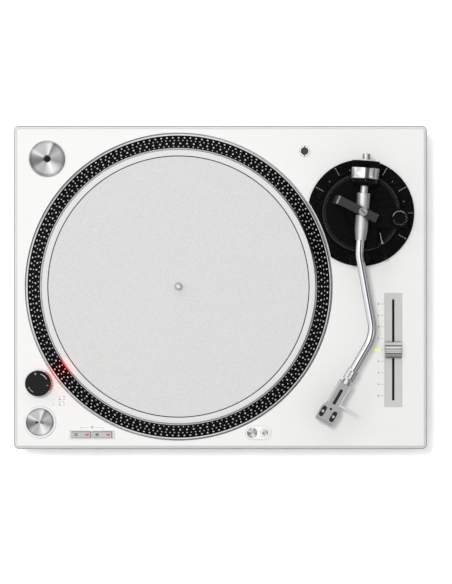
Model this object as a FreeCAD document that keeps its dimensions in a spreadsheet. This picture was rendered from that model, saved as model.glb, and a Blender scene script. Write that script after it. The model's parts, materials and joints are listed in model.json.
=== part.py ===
import FreeCAD, Part
import math
import os
import Sketcher

# A direct-drive disc jockey turntable with an S-shaped tonearm.
# Millimetres. +X right, +Y rear, +Z up. The origin is under the middle of the plinth, level with
# the soles of the feet.

SIZES = {
    # plinth
    "plinth_width": 450, "plinth_depth": 352, "plinth_corner": 5, "panel_bevel": 3.3, "wall": 5,
    "foot_gap": 22, "panel_top": 92, "panel_thick": 5, "dish_wall": 1.5, "cover_thick": 4,
    "cover_inset": 2,
    "past": 1, "running": 0.05, "easy": 0.2, "screw_radius": 1.5, "post_radius": 5, "post_height": 16,
    "post_growth": 0.5, "blind_end": 2, "side_post_rear": 0.25, "side_post_front": 0.35,
    "front_post": 0.4, "rear_post": 0.25, "screw_cap": 3.3, "screw_cap_high": 2, "screw_drive": 1.05,
    "screw_short": 4,
    "foot_inset": 38, "foot_radius": 28, "foot_top_radius": 23, "sole_height": 5,
    "foot_edge": 2, "stud_radius": 4, "stud_length": 26, "boss_radius": 14, "boss_height": 32,
    "foot_free": 0.5,
    # platter and its well
    "spindle_x": -45.5, "spindle_y": 0.9,
    "platter_radius": 166, "well_gap": 1.7, "well_depth": 11, "well_floor": 3,
    "platter_rise": 15, "platter_drop": 8, "band_outer": 164.3, "band_inner": 150.3,
    "top_radius": 147.5, "rim_rise": 2.6, "band_low": 3.2, "band_high": 12.8, "skirt_wall": 4.5,
    "skirt_root": 1.5, "skirt_corner": 3.9, "skirt_drop": 3.5,
    "disc_thick": 5, "hub_radius": 18, "hub_drop": 8, "bore_radius": 8,
    "mat_radius": 148.2, "mat_thick": 1.5, "mat_hole": 4.6,
    "pin_radius": 3.6, "pin_rise": 14, "pin_tip": 1.4, "axle_radius": 5, "axle_drop": 42,
    # motor
    "motor_radius": 78, "motor_hole": 70, "motor_plate": 4, "bearing_radius": 11, "bearing_floor": 3,
    "bearing_gap": 3, "arm_root": 4,
    "magnet_outer": 59, "magnet_inner": 52, "magnet_height": 19, "core_hub": 20, "core_reach": 50,
    "core_arm": 6, "core_height": 10, "core_rise": 4, "coil_wide": 11, "coil_start": 24,
    "coil_end": 44, "coil_high": 13, "pole_count": 12,
    # circuit board and transformer
    "board_x": -165, "board_y": -128, "board_wide": 104, "board_deep": 80, "board_level": 60,
    "board_thick": 1.6, "board_inset": 6, "board_notch": 60, "board_post": 3.5, "switch_size": 12,
    "switch_height": 8, "switch_deep": 6,
    "chip_size": 16, "chip_height": 3,
    "transformer_x": -132, "transformer_y": 112, "transformer_wide": 54, "transformer_deep": 36,
    "transformer_high": 40, "winding_wide": 34, "winding_deep": 50, "winding_high": 26,
    # rear connectors
    "jack_x": 95, "jack_spacing": 20, "jack_level": 50, "jack_radius": 4, "jack_flange": 6.5,
    "jack_length": 8, "ground_x": 140, "inlet_x": -150, "inlet_wide": 28, "inlet_high": 20,
    "recess_deep": 14, "recess_wide": 90, "recess_high": 34, "jack_tail": 3, "jack_bore": 1.6,
    "flange_thick": 2, "inlet_tail": 12, "inlet_back": 8, "inlet_wall": 3, "inlet_lip": 2,
    "inlet_pin_x": 4.3, "inlet_pin_half": 1.2, "inlet_pin_thin": 1,
    # power knob and strobe tower
    "tower_x": -197.7, "tower_y": -104, "tower_radius": 15.2, "tower_rise": 12, "tower_bore": 11,
    "tower_roof": 4, "tower_neck": 12, "tower_wall": 2, "tower_tail": 3, "lens_inset": 0.3,
    "knob_edge": 1, "knob_radius": 14.1, "knob_height": 8, "knob_stem": 3,
    "knob_gap": 0.3, "window_low": 3, "window_high": 10, "window_start": -28, "window_sweep": 86,
    # start and stop button
    "start_x": -196.6, "start_y": -146.7, "start_radius": 14.9, "start_bezel": 17.6,
    "start_neck": 16.5, "start_tail": 2, "small_edge": 0.8, "bezel_rise": 2.5, "start_rise": 4,
    "start_skirt": 4, "stem_radius": 4,
    "stem_level": 72,
    # speed buttons
    "speed_x": -140, "speed_y": -160.3, "speed_bezel_wide": 49.3, "speed_bezel_deep": 9.2,
    "speed_wide": 21.2, "speed_deep": 6.9, "speed_pitch": 22.9, "speed_rise": 3, "speed_frame": 1.5,
    "speed_neck_inset": 0.7, "speed_stem": 4,
    "frame_tail": 1,
    # tempo fader
    "fader_x": 188.1, "fader_y": -68, "fader_plate_wide": 19.1, "fader_plate_long": 124,
    "fader_plate_thick": 1, "fader_slot_wide": 2.6, "fader_slot_long": 110, "fader_body_wide": 16,
    "fader_body_high": 14, "fader_knob_wide": 17.2, "fader_knob_long": 18, "fader_knob_high": 8,
    "fader_knob_gap": 1.2, "fader_stem_wide": 2.2, "fader_stem_long": 6, "fader_stem_drop": 12,
    "zero_light_x": 171, "zero_light_y": -68.2, "zero_light_wide": 5.2, "zero_light_deep": 2,
    "zero_light_rise": 0.4, "fader_room": 4, "fader_case_floor": 2, "fader_opening": 6.6,
    "fader_track": 4.4, "groove_wide": 1.4, "groove_deep": 1.2, "groove_inner": 2.88,
    "groove_outer": 6.48,
    # target light
    "light_x": 41.5, "light_y": -158.3, "light_plate_long": 29.6, "light_plate_wide": 16,
    "light_plate_thick": 1, "barrel_x": 34.4, "barrel_radius": 5.5, "barrel_rise": 2,
    "barrel_drop": 44, "barrel_tube": 7, "light_button_x": 48.6, "light_button_radius": 3.2,
    "light_button_ring": 5.8, "light_button_rise": 2, "plate_round_short": 0.05, "guide_long": 15,
    "button_guide_long": 2, "button_guide_rise": 0.5, "button_edge": 0.6, "lens_top": 4, "lens_low": 9,
    # headshell socket and adapter recess
    "socket_x": 91.6, "socket_y": 148.4, "socket_bore": 4.1, "socket_neck": 5, "socket_ring": 5.8,
    "socket_rise": 1, "socket_drop": 22,
    "adapter_x": -188.7, "adapter_y": 139.95, "adapter_radius": 19, "adapter_bore": 3.65,
    "adapter_height": 8, "adapter_bevel": 3, "recess_gap": 0.95, "recess_depth": 4,
    # tonearm base
    "pivot_x": 152.8, "pivot_y": 81, "base_radius": 57.9, "base_thick": 4, "base_margin": 1,
    "ring_inner": 38.6, "ring_outer": 43.5, "ring_height": 5.8, "platform_radius": 38.35,
    "platform_high": 7, "column_radius": 24, "column_drop": 14, "turret_radius": 17.6,
    "turret_rise": 10, "pivot_post": 3, "base_lift": 0.3,
    "column_gap": 2, "ring_flat": 1.5, "ring_bevel": 2.5, "turret_edge": 2, "box_root": 0.5,
    "skate_bore_low": 3, "knob_stem_low": 4, "lock_bore_deep": 5, "lock_stem_deep": 4,
    "skate_reach": 50.2, "skate_start": 10.2, "skate_front": -16.6, "skate_back": 4.2,
    "skate_high": 9, "skate_knob_x": 40.9, "skate_knob_y": -6.4,
    "skate_knob_radius": 9, "skate_knob_height": 6, "small_stem": 2,
    "cue_box_left": 4.2, "cue_box_right": 16.5, "cue_box_front": -37, "cue_box_back": -17,
    "cue_box_high": 11, "cue_axis_y": -21, "cue_axis_rise": 5.5, "lever_side": 19.6,
    "lever_rod": 1.3, "lever_length": 15, "grip_radius": 2.4, "grip_length": 16, "lever_tilt": 20,
    "lift_radius": 29.5, "lift_wide": 3, "lift_thick": 3, "lift_below": 6.6, "lift_start": 214,
    "lift_sweep": 76, "lift_post_angle": 288, "lift_bore_depth": 10.4, "lift_bore_spare": 6,
    "lift_post_up": 2,
    "lever_bore_long": 6, "lever_axle_long": 5,
    "lock_x": 18, "lock_y": 17.2, "lock_radius": 4, "lock_height": 6.5, "lock_reach": 13,
    "lock_wide": 4, "lock_thick": 3, "lock_rise": 1, "lock_turn": 6,
    # gimbal
    "arm_level": 131, "arm_yaw": -4.13, "bridge_turn": 154, "bridge_wide": 10, "bridge_thick": 4,
    "bridge_long_side": 34, "bridge_short_side": 16.6, "long_leg": 4, "short_leg": 3.8,
    "gimbal_inner": 8.2, "gimbal_outer": 11, "gimbal_thick": 7, "gimbal_pin": 1.2,
    "pivot_clear": 0.1, "bridge_clear": 0.6, "pivot_screw": 2, "pivot_head": 4.7,
    "pivot_head_high": 1.8, "pivot_slot_wide": 1, "pivot_slot_deep": 0.8, "pivot_slot_turn": -50,
    "pivot_shank_up": 0.5, "pin_short": 0.5,
    # arm
    "sleeve_radius": 7.2, "sleeve_back": 20.3, "sleeve_front": 20, "sleeve_nose": 30.2,
    "sleeve_nose_radius": 5.75, "tube_radius": 4.5, "tube_bore": 3.7, "tube_start": 12,
    "shaft_radius": 4.15, "shaft_start": 8, "shaft_end": 63.1, "shaft_edge": 0.6,
    "first_bend": 45.6, "first_turn": 14.4, "first_bend_radius": 40, "upper_run": 87.6,
    "second_turn": 40.3, "second_bend_radius": 39, "lower_run": 48.9,
    "weight_radius": 15, "weight_front": 35.8, "weight_back": 56.2, "weight_edge": 1,
    "insert_radius": 6,
    "insert_front": 29, "insert_back": 55.5, "dial_radius": 13.6, "dial_gap": 0.2,
    "dial_bevel_end": 31.2, "dial_front": 28.2, "dial_nose": 10,
    "collar_radius": 5.95, "collar_start": 44.1, "collar_end": 56.6, "collar_edge": 0.5,
    # headshell
    "shell_back": 59.6, "shell_long": 50, "shell_tail_half": 7.6, "shell_neck_half": 7.6,
    "shell_half": 10.3, "shell_neck": 28, "shell_shoulder": 34, "shell_round": 1.3, "shell_nose": 2.94,
    "shell_cheek": 8.4, "shell_brow": 0.3,
    "stub_root": 2, "shell_above": 1,
    "shell_below": 2, "shell_block_long": 11, "shell_block_below": 5, "stub_clear": 0.1,
    "stub_start": 49.1, "neck_slot_start": 9, "neck_slot_long": 18, "slot_wide": 3,
    "screw_apart": 12.7, "screw_back": 11, "screw_slot_long": 10, "screw_head": 2.4,
    "screw_head_high": 1.8, "cartridge_screw": 1.25, "screw_grip": 5,
    "drive_wide": 0.7, "drive_deep": 0.7, "shank_up": 0.5, "needle_back": 1, "needle_root": 0.5,
    "cartridge_wide": 16.6, "cartridge_long": 23, "cartridge_high": 14, "cartridge_front": 3,
    "stylus_wide": 6, "stylus_long": 8, "stylus_high": 2.4,
    "needle_radius": 0.4, "needle_length": 1.2,
    "lift_start_back": 25, "finger_reach": 27.2, "finger_root": 1.35, "finger_tip": 0.5,
    "finger_thick": 1.5,
    # arm rest
    "rest_x": 150.3, "rest_y": 31, "rest_turn": 8, "rest_wide_in": 11, "rest_wide_out": 8.6,
    "rest_deep": 10, "rest_saddle_high": 8, "rest_clear": 0.3, "rest_post": 4, "prong_gap": 5.6,
    "prong_top": 4, "hinge_rise": 4.1, "clamp_clear": 0.3, "clamp_thick": 1.6, "clamp_long": 15,
    "clamp_wide": 5, "clamp_eye": 1.5, "clamp_pin": 0.8,
}

UP = FreeCAD.Vector(0, 0, 1)
AHEAD = FreeCAD.Vector(0, 1, 0)
SIDEWAYS = FreeCAD.Vector(1, 0, 0)

document = FreeCAD.newDocument("turntable")
sheet = document.addObject("Spreadsheet::Sheet", "Sizes")
for row, (alias, amount) in enumerate(SIZES.items(), 1):
    sheet.set(f"A{row}", alias)
    sheet.set(f"B{row}", str(amount))
    sheet.setAlias(f"B{row}", alias)
document.recompute()


def number(size):
    return size.number if isinstance(size, Size) else float(size)


def words(size):
    return size.words if isinstance(size, Size) else f"{float(size):f}"


class Size:
    """A size worked out from the sheet: its number now, and the expression that it is bound to."""

    def __init__(self, amount, expression):
        self.number = amount
        self.words = expression

    def __add__(self, other):
        return Size(self.number + number(other), f"({self.words} + {words(other)})")

    def __radd__(self, other):
        return self + other

    def __sub__(self, other):
        return Size(self.number - number(other), f"({self.words} - {words(other)})")

    def __rsub__(self, other):
        return Size(number(other) - self.number, f"({words(other)} - {self.words})")

    def __mul__(self, other):
        return Size(self.number * number(other), f"({self.words} * {words(other)})")

    def __rmul__(self, other):
        return self * other

    def __truediv__(self, other):
        return Size(self.number / number(other), f"({self.words} / {words(other)})")

    def __rtruediv__(self, other):
        return Size(number(other) / self.number, f"({words(other)} / {words(self)})")

    def __neg__(self):
        return Size(-self.number, f"(-1 * {self.words})")


class Sheet:
    """The sheet's sizes by name."""

    def __getattr__(self, alias):
        return Size(float(sheet.get(alias)), f"Sizes.{alias}")


s = Sheet()


def sine(angle):
    return Size(math.sin(math.radians(number(angle))), f"sin({words(angle)} * 1 deg)")


def cosine(angle):
    return Size(math.cos(math.radians(number(angle))), f"cos({words(angle)} * 1 deg)")


def bind(piece, **sizes):
    """Sets each named property to its size, and keeps it bound to the sheet."""
    for name, size in sizes.items():
        setattr(piece, name, number(size))
        if isinstance(size, Size):
            piece.setExpression(name, size.words)


def place(piece, x=0, y=0, z=0, turn=0, axis=UP):
    """Puts a piece at a point, turned about an axis by an angle in degrees."""
    base = FreeCAD.Vector(number(x), number(y), number(z))
    piece.Placement = FreeCAD.Placement(base, FreeCAD.Rotation(axis, number(turn)))
    for name, size in (("Base.x", x), ("Base.y", y), ("Base.z", z), ("Rotation.Angle", turn)):
        if isinstance(size, Size):
            piece.setExpression(f"Placement.{name}", size.words)
    return piece


def rod(name, radius, low, high, x=0, y=0):
    """An upright cylinder between two levels."""
    piece = document.addObject("Part::Cylinder", name)
    bind(piece, Radius=radius, Height=high - low)
    return place(piece, x, y, low)


def cross_rod(name, radius, start, end, y=0, z=0):
    """A cylinder along X."""
    piece = document.addObject("Part::Cylinder", name)
    bind(piece, Radius=radius, Height=end - start)
    return place(piece, start, y, z, 90, AHEAD)


def long_rod(name, radius, start, end, x=0, z=0):
    """A cylinder along Y."""
    piece = document.addObject("Part::Cylinder", name)
    bind(piece, Radius=radius, Height=end - start)
    return place(piece, x, start, z, -90, SIDEWAYS)


def sector(name, radius, low, high, start, sweep, x=0, y=0):
    """An upright pie slice from a start angle."""
    piece = document.addObject("Part::Cylinder", name)
    bind(piece, Radius=radius, Height=high - low, Angle=sweep)
    return place(piece, x, y, low, start)


def block(name, left, right, front, back, low, high):
    """A box between three pairs of faces."""
    piece = document.addObject("Part::Box", name)
    bind(piece, Length=right - left, Width=back - front, Height=high - low)
    return place(piece, left, front, low)


def slab(name, wide, deep, low, high, x=0, y=0):
    """A box centred on a point."""
    return block(name, x - wide / 2, x + wide / 2, y - deep / 2, y + deep / 2, low, high)


def cut(name, base, *tools):
    piece = document.addObject("Part::Cut", name)
    piece.Base = base
    piece.Tool = tools[0] if len(tools) == 1 else group(f"{name}_tools", *tools)
    return piece


def fuse(name, *pieces):
    piece = document.addObject("Part::MultiFuse", name)
    piece.Shapes = list(pieces)
    return piece


def group(name, *pieces):
    """Separate solids kept together."""
    piece = document.addObject("Part::Compound", name)
    piece.Links = list(pieces)
    return piece


def origin_plane(body, role):
    return [plane for plane in body.Origin.OriginFeatures if plane.Role == role][0]


def outline(body, name, points, role):
    """A closed sketch through points, each tied to the sheet by its distance from the axes."""
    sketch = body.newObject("Sketcher::SketchObject", name)
    sketch.AttachmentSupport = [(origin_plane(body, role), "")]
    sketch.MapMode = "FlatFace"
    corners = [FreeCAD.Vector(number(x), number(y), 0) for x, y in points]
    for index, corner in enumerate(corners):
        sketch.addGeometry(Part.LineSegment(corner, corners[(index + 1) % len(corners)]))
    for index in range(len(corners)):
        after = (index + 1) % len(corners)
        sketch.addConstraint(Sketcher.Constraint("Coincident", index, 2, after, 1))
    for index, (x, y) in enumerate(points):
        for kind, size in (("DistanceX", x), ("DistanceY", y)):
            rule = sketch.addConstraint(Sketcher.Constraint(kind, -1, 1, index, 1, number(size)))
            if isinstance(size, Size):
                sketch.setExpression(f"Constraints[{rule}]", size.words)
    return sketch


def turned(name, profile, along="z"):
    """A body turned about its own axis from (radius, distance along the axis) corners."""
    body = document.addObject("PartDesign::Body", name)
    role = "XZ_Plane" if along == "z" else "XY_Plane"
    sketch = outline(body, f"{name}_profile", profile, role)
    turn = body.newObject("PartDesign::Revolution", f"{name}_turned")
    turn.Profile = sketch
    turn.ReferenceAxis = (sketch, ["V_Axis"])
    turn.Angle = 360
    return body


def padded(name, points, thick):
    """A body of even thickness over an outline."""
    body = document.addObject("PartDesign::Body", name)
    pad = body.newObject("PartDesign::Pad", f"{name}_pad")
    pad.Profile = outline(body, f"{name}_outline", points, "XY_Plane")
    bind(pad, Length=thick)
    body.Tip = pad
    return body


def rounded(name, wide, deep, thick, corner):
    """A centred block with rounded upright edges."""
    half_wide, half_deep = wide / 2, deep / 2
    corners = [
        (-half_wide, -half_deep), (half_wide, -half_deep), (half_wide, half_deep), (-half_wide, half_deep),
    ]
    body = padded(name, corners, thick)
    document.recompute()
    pad = body.Tip
    upright = [
        f"Edge{index}"
        for index, edge in enumerate(pad.Shape.Edges, 1)
        if abs(edge.tangentAt(edge.FirstParameter).z) > 0.9
    ]
    fillet = body.newObject("PartDesign::Fillet", f"{name}_corners")
    fillet.Base = (pad, upright)
    bind(fillet, Radius=corner)
    body.Tip = fillet
    return body


def bevelled(name, body, thick, size):
    """Bevels the edges round the top of a rounded block."""
    document.recompute()
    base = body.Tip
    around = [
        f"Edge{index}"
        for index, edge in enumerate(base.Shape.Edges, 1)
        if min(edge.Vertexes[0].Z, edge.Vertexes[-1].Z) > number(thick) / 2
    ]
    bevel = body.newObject("PartDesign::Chamfer", f"{name}_bevel")
    bevel.Base = (base, around)
    bind(bevel, Size=size)
    body.Tip = bevel
    return body


# Levels and places that several pieces share.

panel_low = s.panel_top - s.panel_thick
cover_top = s.foot_gap + s.cover_thick
platter_top = s.panel_top + s.platter_rise
platter_low = s.panel_top - s.platter_drop
well_radius = s.platter_radius + s.well_gap
well_level = s.panel_top - s.well_depth
plate_top = well_level - s.well_floor
disc_low = platter_top - s.disc_thick
half_width = s.plinth_width / 2
half_depth = s.plinth_depth / 2
inner_half_width = half_width - s.wall
inner_half_depth = half_depth - s.wall
base_top = s.panel_top + s.base_thick
platform_low = base_top + s.base_lift
platform_top = platform_low + s.platform_high
gimbal_top = s.arm_level + s.gimbal_outer
bridge_low = gimbal_top + s.bridge_clear
bridge_top = bridge_low + s.bridge_thick
foot_x = half_width - s.foot_inset
foot_y = half_depth - s.foot_inset
foot_places = {
    "foot_front_left": (-foot_x, -foot_y),
    "foot_front_right": (foot_x, -foot_y),
    "foot_rear_left": (-foot_x, foot_y),
    "foot_rear_right": (foot_x, foot_y),
}
shell_yaw = s.arm_yaw + s.first_turn - s.second_turn
bend_x = s.upper_run * sine(s.first_turn)
bend_y = -s.first_bend - s.upper_run * cosine(s.first_turn)
elbow_x = s.pivot_x + bend_x * cosine(s.arm_yaw) - bend_y * sine(s.arm_yaw)
elbow_y = s.pivot_y + bend_x * sine(s.arm_yaw) + bend_y * cosine(s.arm_yaw)
screw_run = s.shell_back + s.shell_long - s.screw_back
nodes = []


def node(piece, label):
    """Names a finished sub-part."""
    piece.Label = label
    nodes.append(piece)
    return piece


def on_arm(piece):
    """Places a piece made about the tonearm's pivot, with the arm along -Y."""
    return place(piece, s.pivot_x, s.pivot_y, s.arm_level, s.arm_yaw)


def on_shell(piece):
    """Places a piece made about the arm's elbow, with the headshell along -Y."""
    return place(piece, elbow_x, elbow_y, s.arm_level, shell_yaw)


def on_pivot(piece, turn=0):
    """Places a piece made about the upright pivot line, at its true level."""
    return place(piece, s.pivot_x, s.pivot_y, 0, turn)


# The screws' places round the edge of the bottom cover.

def cover_screw_places():
    across = inner_half_width - s.post_radius
    back = inner_half_depth - s.post_radius
    places = []
    for side in (-1, 1):
        places.append((across * side, back * s.side_post_rear))
        places.append((across * side, -back * s.side_post_front))
        places.append((half_width * s.front_post * side, -back))
        places.append((half_width * s.rear_post * side, back))
    return places


def make_top_panel():
    slab_top = rounded("panel_slab", s.plinth_width, s.plinth_depth, s.panel_thick, s.plinth_corner)
    place(bevelled("panel_slab", slab_top, s.panel_thick, s.panel_bevel), 0, 0, panel_low)
    dish = rod("panel_dish", well_radius + s.dish_wall, plate_top, s.panel_top, s.spindle_x, s.spindle_y)
    start_hole = s.start_neck + s.easy
    speed_wide = s.speed_bezel_wide - 2 * s.speed_neck_inset
    speed_deep = s.speed_bezel_deep - 2 * s.speed_neck_inset
    fader_hole = s.fader_slot_long + s.fader_room
    below = plate_top - s.past
    above = s.panel_top + s.past
    tools = [
        rod("well", well_radius, well_level, above, s.spindle_x, s.spindle_y),
        rod("motor_opening", s.motor_hole, below, above, s.spindle_x, s.spindle_y),
        rod("tower_hole", s.tower_neck + s.easy, below, above, s.tower_x, s.tower_y),
        rod("start_hole", start_hole, below, above, s.start_x, s.start_y),
        slab("speed_hole", speed_wide + s.easy, speed_deep + s.easy, below, above, s.speed_x, s.speed_y),
        slab("fader_hole", s.fader_opening, fader_hole, below, above, s.fader_x, s.fader_y),
        slab("zero_hole", s.zero_light_wide + s.running, s.zero_light_deep + s.running, below, above,
             s.zero_light_x, s.zero_light_y),
        rod("light_hole", s.barrel_tube + s.running, below, above, s.barrel_x, s.light_y),
        rod("light_button_room", s.light_button_ring + s.running, below, above, s.light_button_x, s.light_y),
        rod("socket_hole", s.socket_neck + s.easy, below, above, s.socket_x, s.socket_y),
        rod("adapter_recess", s.adapter_radius + s.recess_gap, s.panel_top - s.recess_depth, above,
            s.adapter_x, s.adapter_y),
        rod("column_hole", s.column_radius + s.column_gap, below, above, s.pivot_x, s.pivot_y),
    ]
    node(cut("panel_cut", fuse("panel_blank", slab_top, dish), *tools), "top_panel")


def make_cabinet():
    blank = rounded("cabinet_blank", s.plinth_width, s.plinth_depth, panel_low - cover_top, s.plinth_corner)
    place(blank, 0, 0, cover_top)
    room = block("cabinet_room", -inner_half_width, inner_half_width, -inner_half_depth,
                 inner_half_depth, cover_top - s.past, panel_low + s.past)
    bosses = []
    bores = []
    rib_long = s.foot_inset - s.wall / 2
    for name, (x, y) in foot_places.items():
        bosses.append(rod(f"{name}_boss", s.boss_radius, cover_top, cover_top + s.boss_height, x, y))
        outward = 1 if number(x) > 0 else -1
        bosses.append(slab(f"{name}_rib", rib_long, s.wall, cover_top, cover_top + s.boss_height,
                           x + outward * rib_long / 2, y))
        bores.append(rod(f"{name}_bore", s.stud_radius + s.running, cover_top - s.past,
                         cover_top + s.boss_height - s.blind_end, x, y))
    for index, (x, y) in enumerate(cover_screw_places()):
        top = cover_top + s.post_height
        bosses.append(rod(f"post_{index}", s.post_radius + s.post_growth, cover_top, top, x, y))
        bores.append(rod(f"post_bore_{index}", s.screw_radius + s.running, cover_top - s.past,
                         top - s.blind_end, x, y))
    jack_middle = (s.jack_x + s.ground_x) / 2
    for name, x in (("jack", jack_middle), ("inlet", s.inlet_x)):
        low = s.jack_level - s.recess_high / 2
        bosses.append(slab(f"{name}_box", s.recess_wide, s.recess_deep + s.wall, low, low + s.recess_high,
                           x, half_depth - (s.recess_deep + s.wall) / 2))
        inside = s.recess_wide - 2 * s.wall
        bores.append(slab(f"{name}_recess", inside, s.recess_deep + s.past, low + s.wall / 2,
                          low + s.recess_high - s.wall / 2, x, half_depth - (s.recess_deep - s.past) / 2))
    floor_back = half_depth - s.recess_deep
    for index, x in enumerate(jack_places()):
        bores.append(long_rod(f"jack_hole_{index}", s.jack_radius + s.running, floor_back - s.wall - s.past,
                              floor_back + s.past, x, s.jack_level))
    bores.append(block("inlet_hole", s.inlet_x - s.inlet_wide / 2, s.inlet_x + s.inlet_wide / 2,
                       floor_back - s.wall - s.past, floor_back + s.past, s.jack_level - s.inlet_high / 2,
                       s.jack_level + s.inlet_high / 2))
    shell = cut("cabinet_shell", blank, room)
    node(cut("cabinet_cut", fuse("cabinet_fused", shell, *bosses), *bores), "cabinet")


def jack_places():
    return [s.jack_x - s.jack_spacing / 2, s.jack_x + s.jack_spacing / 2, s.ground_x]


def make_bottom():
    wide = s.plinth_width - 2 * s.cover_inset
    deep = s.plinth_depth - 2 * s.cover_inset
    plate = rounded("cover_blank", wide, deep, s.cover_thick, s.plinth_corner - s.cover_inset)
    place(plate, 0, 0, s.foot_gap)
    posts = []
    for side in (-1, 1):
        for end in (-1, 1):
            x = s.board_x + side * (s.board_wide / 2 - s.board_inset)
            y = s.board_y + end * (s.board_deep / 2 - s.board_inset)
            if side < 0 and end < 0:
                x = x + s.board_notch
            posts.append(rod(f"board_post_{side + 1}{end + 1}", s.board_post, cover_top, s.board_level, x, y))
    under = s.foot_gap - s.past
    over = cover_top + s.past
    cap_low = s.foot_gap - s.screw_cap_high
    holes = []
    for name, (x, y) in foot_places.items():
        holes.append(rod(f"{name}_hole", s.stud_radius + s.easy, under, over, x, y))
    screws = []
    for index, (x, y) in enumerate(cover_screw_places()):
        holes.append(rod(f"cover_hole_{index}", s.screw_radius + s.running, under, over, x, y))
        shank = rod(f"cover_shank_{index}", s.screw_radius, under, cover_top + s.post_height - s.screw_short,
                    x, y)
        head = rod(f"cover_head_{index}", s.screw_cap, cap_low, s.foot_gap, x, y)
        drive = rod(f"cover_drive_{index}", s.screw_drive, cap_low - s.past, under, x, y)
        screws.append(cut(f"cover_screw_{index}", fuse(f"cover_screw_blank_{index}", shank, head), drive))
    node(cut("cover_cut", fuse("cover_posts", plate, *posts), *holes), "bottom_cover")
    node(group("cover_screws", *screws), "bottom_screws")


def make_feet():
    top = s.foot_gap - s.foot_free
    for name, (x, y) in foot_places.items():
        profile = [
            (0, 0), (s.foot_radius - s.foot_edge, 0), (s.foot_radius, s.foot_edge),
            (s.foot_radius, s.sole_height), (s.foot_top_radius, top - s.foot_edge),
            (s.foot_top_radius - s.foot_edge, top), (s.stud_radius, top),
            (s.stud_radius, top + s.stud_length), (0, top + s.stud_length),
        ]
        node(place(turned(f"{name}_body", profile), x, y, 0), name)


def make_motor():
    hub_low = disc_low - s.hub_drop
    axle_low = hub_low - s.axle_drop
    profile = [
        (0, axle_low - s.bearing_floor), (s.bearing_radius, axle_low - s.bearing_floor),
        (s.bearing_radius, plate_top - s.motor_plate), (s.motor_radius, plate_top - s.motor_plate),
        (s.motor_radius, plate_top), (s.bearing_radius, plate_top),
        (s.bearing_radius, hub_low - s.bearing_gap), (s.axle_radius + s.running, hub_low - s.bearing_gap),
        (s.axle_radius + s.running, axle_low - s.running), (0, axle_low - s.running),
    ]
    node(place(turned("motor_base_body", profile), s.spindle_x, s.spindle_y), "motor_base")
    arm_low = plate_top + s.core_rise
    arm_high = arm_low + s.core_height
    hub = rod("core_hub_rod", s.core_hub, plate_top, arm_high)
    bore = rod("core_bore", s.bearing_radius + s.running, plate_top - s.past, arm_high + s.past)
    arms = []
    coils = []
    for index in range(int(number(s.pole_count))):
        turn = 360 * index / s.pole_count
        arm = block(f"core_arm_{index}", s.core_hub - s.arm_root, s.core_reach, -s.core_arm / 2,
                    s.core_arm / 2, arm_low, arm_high)
        arms.append(turn_in_place(f"core_arm_turned_{index}", arm, turn))
        coil_low = arm_low + s.core_height / 2 - s.coil_high / 2
        wound = block(f"coil_block_{index}", s.coil_start, s.coil_end, -s.coil_wide / 2, s.coil_wide / 2,
                      coil_low, coil_low + s.coil_high)
        gap = block(f"coil_gap_{index}", s.coil_start - s.past, s.coil_end + s.past,
                    -s.core_arm / 2 - s.running, s.core_arm / 2 + s.running,
                    arm_low - s.running, arm_high + s.running)
        coils.append(place(cut(f"coil_{index}", wound, gap), 0, 0, 0, turn))
    core = cut("core_cut", fuse("core_fused", hub, *arms), bore)
    node(place(core, s.spindle_x, s.spindle_y), "stator_core")
    node(place(group("coil_group", *coils), s.spindle_x, s.spindle_y), "stator_coils")
    ring = [
        (s.magnet_inner, disc_low - s.magnet_height), (s.magnet_outer, disc_low - s.magnet_height),
        (s.magnet_outer, disc_low), (s.magnet_inner, disc_low),
    ]
    node(place(turned("magnet_body", ring), s.spindle_x, s.spindle_y), "rotor_magnet")


def turn_in_place(name, piece, turn):
    """A copy of a piece turned about the origin's upright line."""
    return place(group(name, piece), 0, 0, 0, turn)


def make_platter():
    rim = s.panel_top + s.rim_rise
    profile = [
        (s.bore_radius, disc_low - s.hub_drop), (s.hub_radius, disc_low - s.hub_drop),
        (s.hub_radius, disc_low), (s.top_radius - s.skirt_root, disc_low),
        (s.band_outer - s.skirt_corner, rim - s.skirt_drop), (s.platter_radius - s.skirt_wall, platter_low),
        (s.platter_radius, platter_low), (s.platter_radius, rim),
        (s.band_outer, s.panel_top + s.band_low), (s.band_inner, s.panel_top + s.band_high),
        (s.top_radius, platter_top), (s.bore_radius, platter_top),
    ]
    node(place(turned("platter_body", profile), s.spindle_x, s.spindle_y), "platter")
    hub_low = disc_low - s.hub_drop
    pin_top = platter_top + s.pin_rise
    spindle = [
        (0, hub_low - s.axle_drop), (s.axle_radius, hub_low - s.axle_drop), (s.axle_radius, hub_low),
        (s.bore_radius, hub_low), (s.bore_radius, platter_top), (s.pin_radius, platter_top),
        (s.pin_radius, pin_top - s.pin_tip), (s.pin_radius - s.pin_tip, pin_top), (0, pin_top),
    ]
    node(place(turned("spindle_body", spindle), s.spindle_x, s.spindle_y), "spindle")
    low = platter_top + s.easy
    mat = [
        (s.mat_hole, low), (s.mat_radius, low),
        (s.mat_radius, low + s.mat_thick), (s.mat_hole, low + s.mat_thick),
    ]
    node(place(turned("mat_body", mat), s.spindle_x, s.spindle_y), "slipmat")


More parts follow.
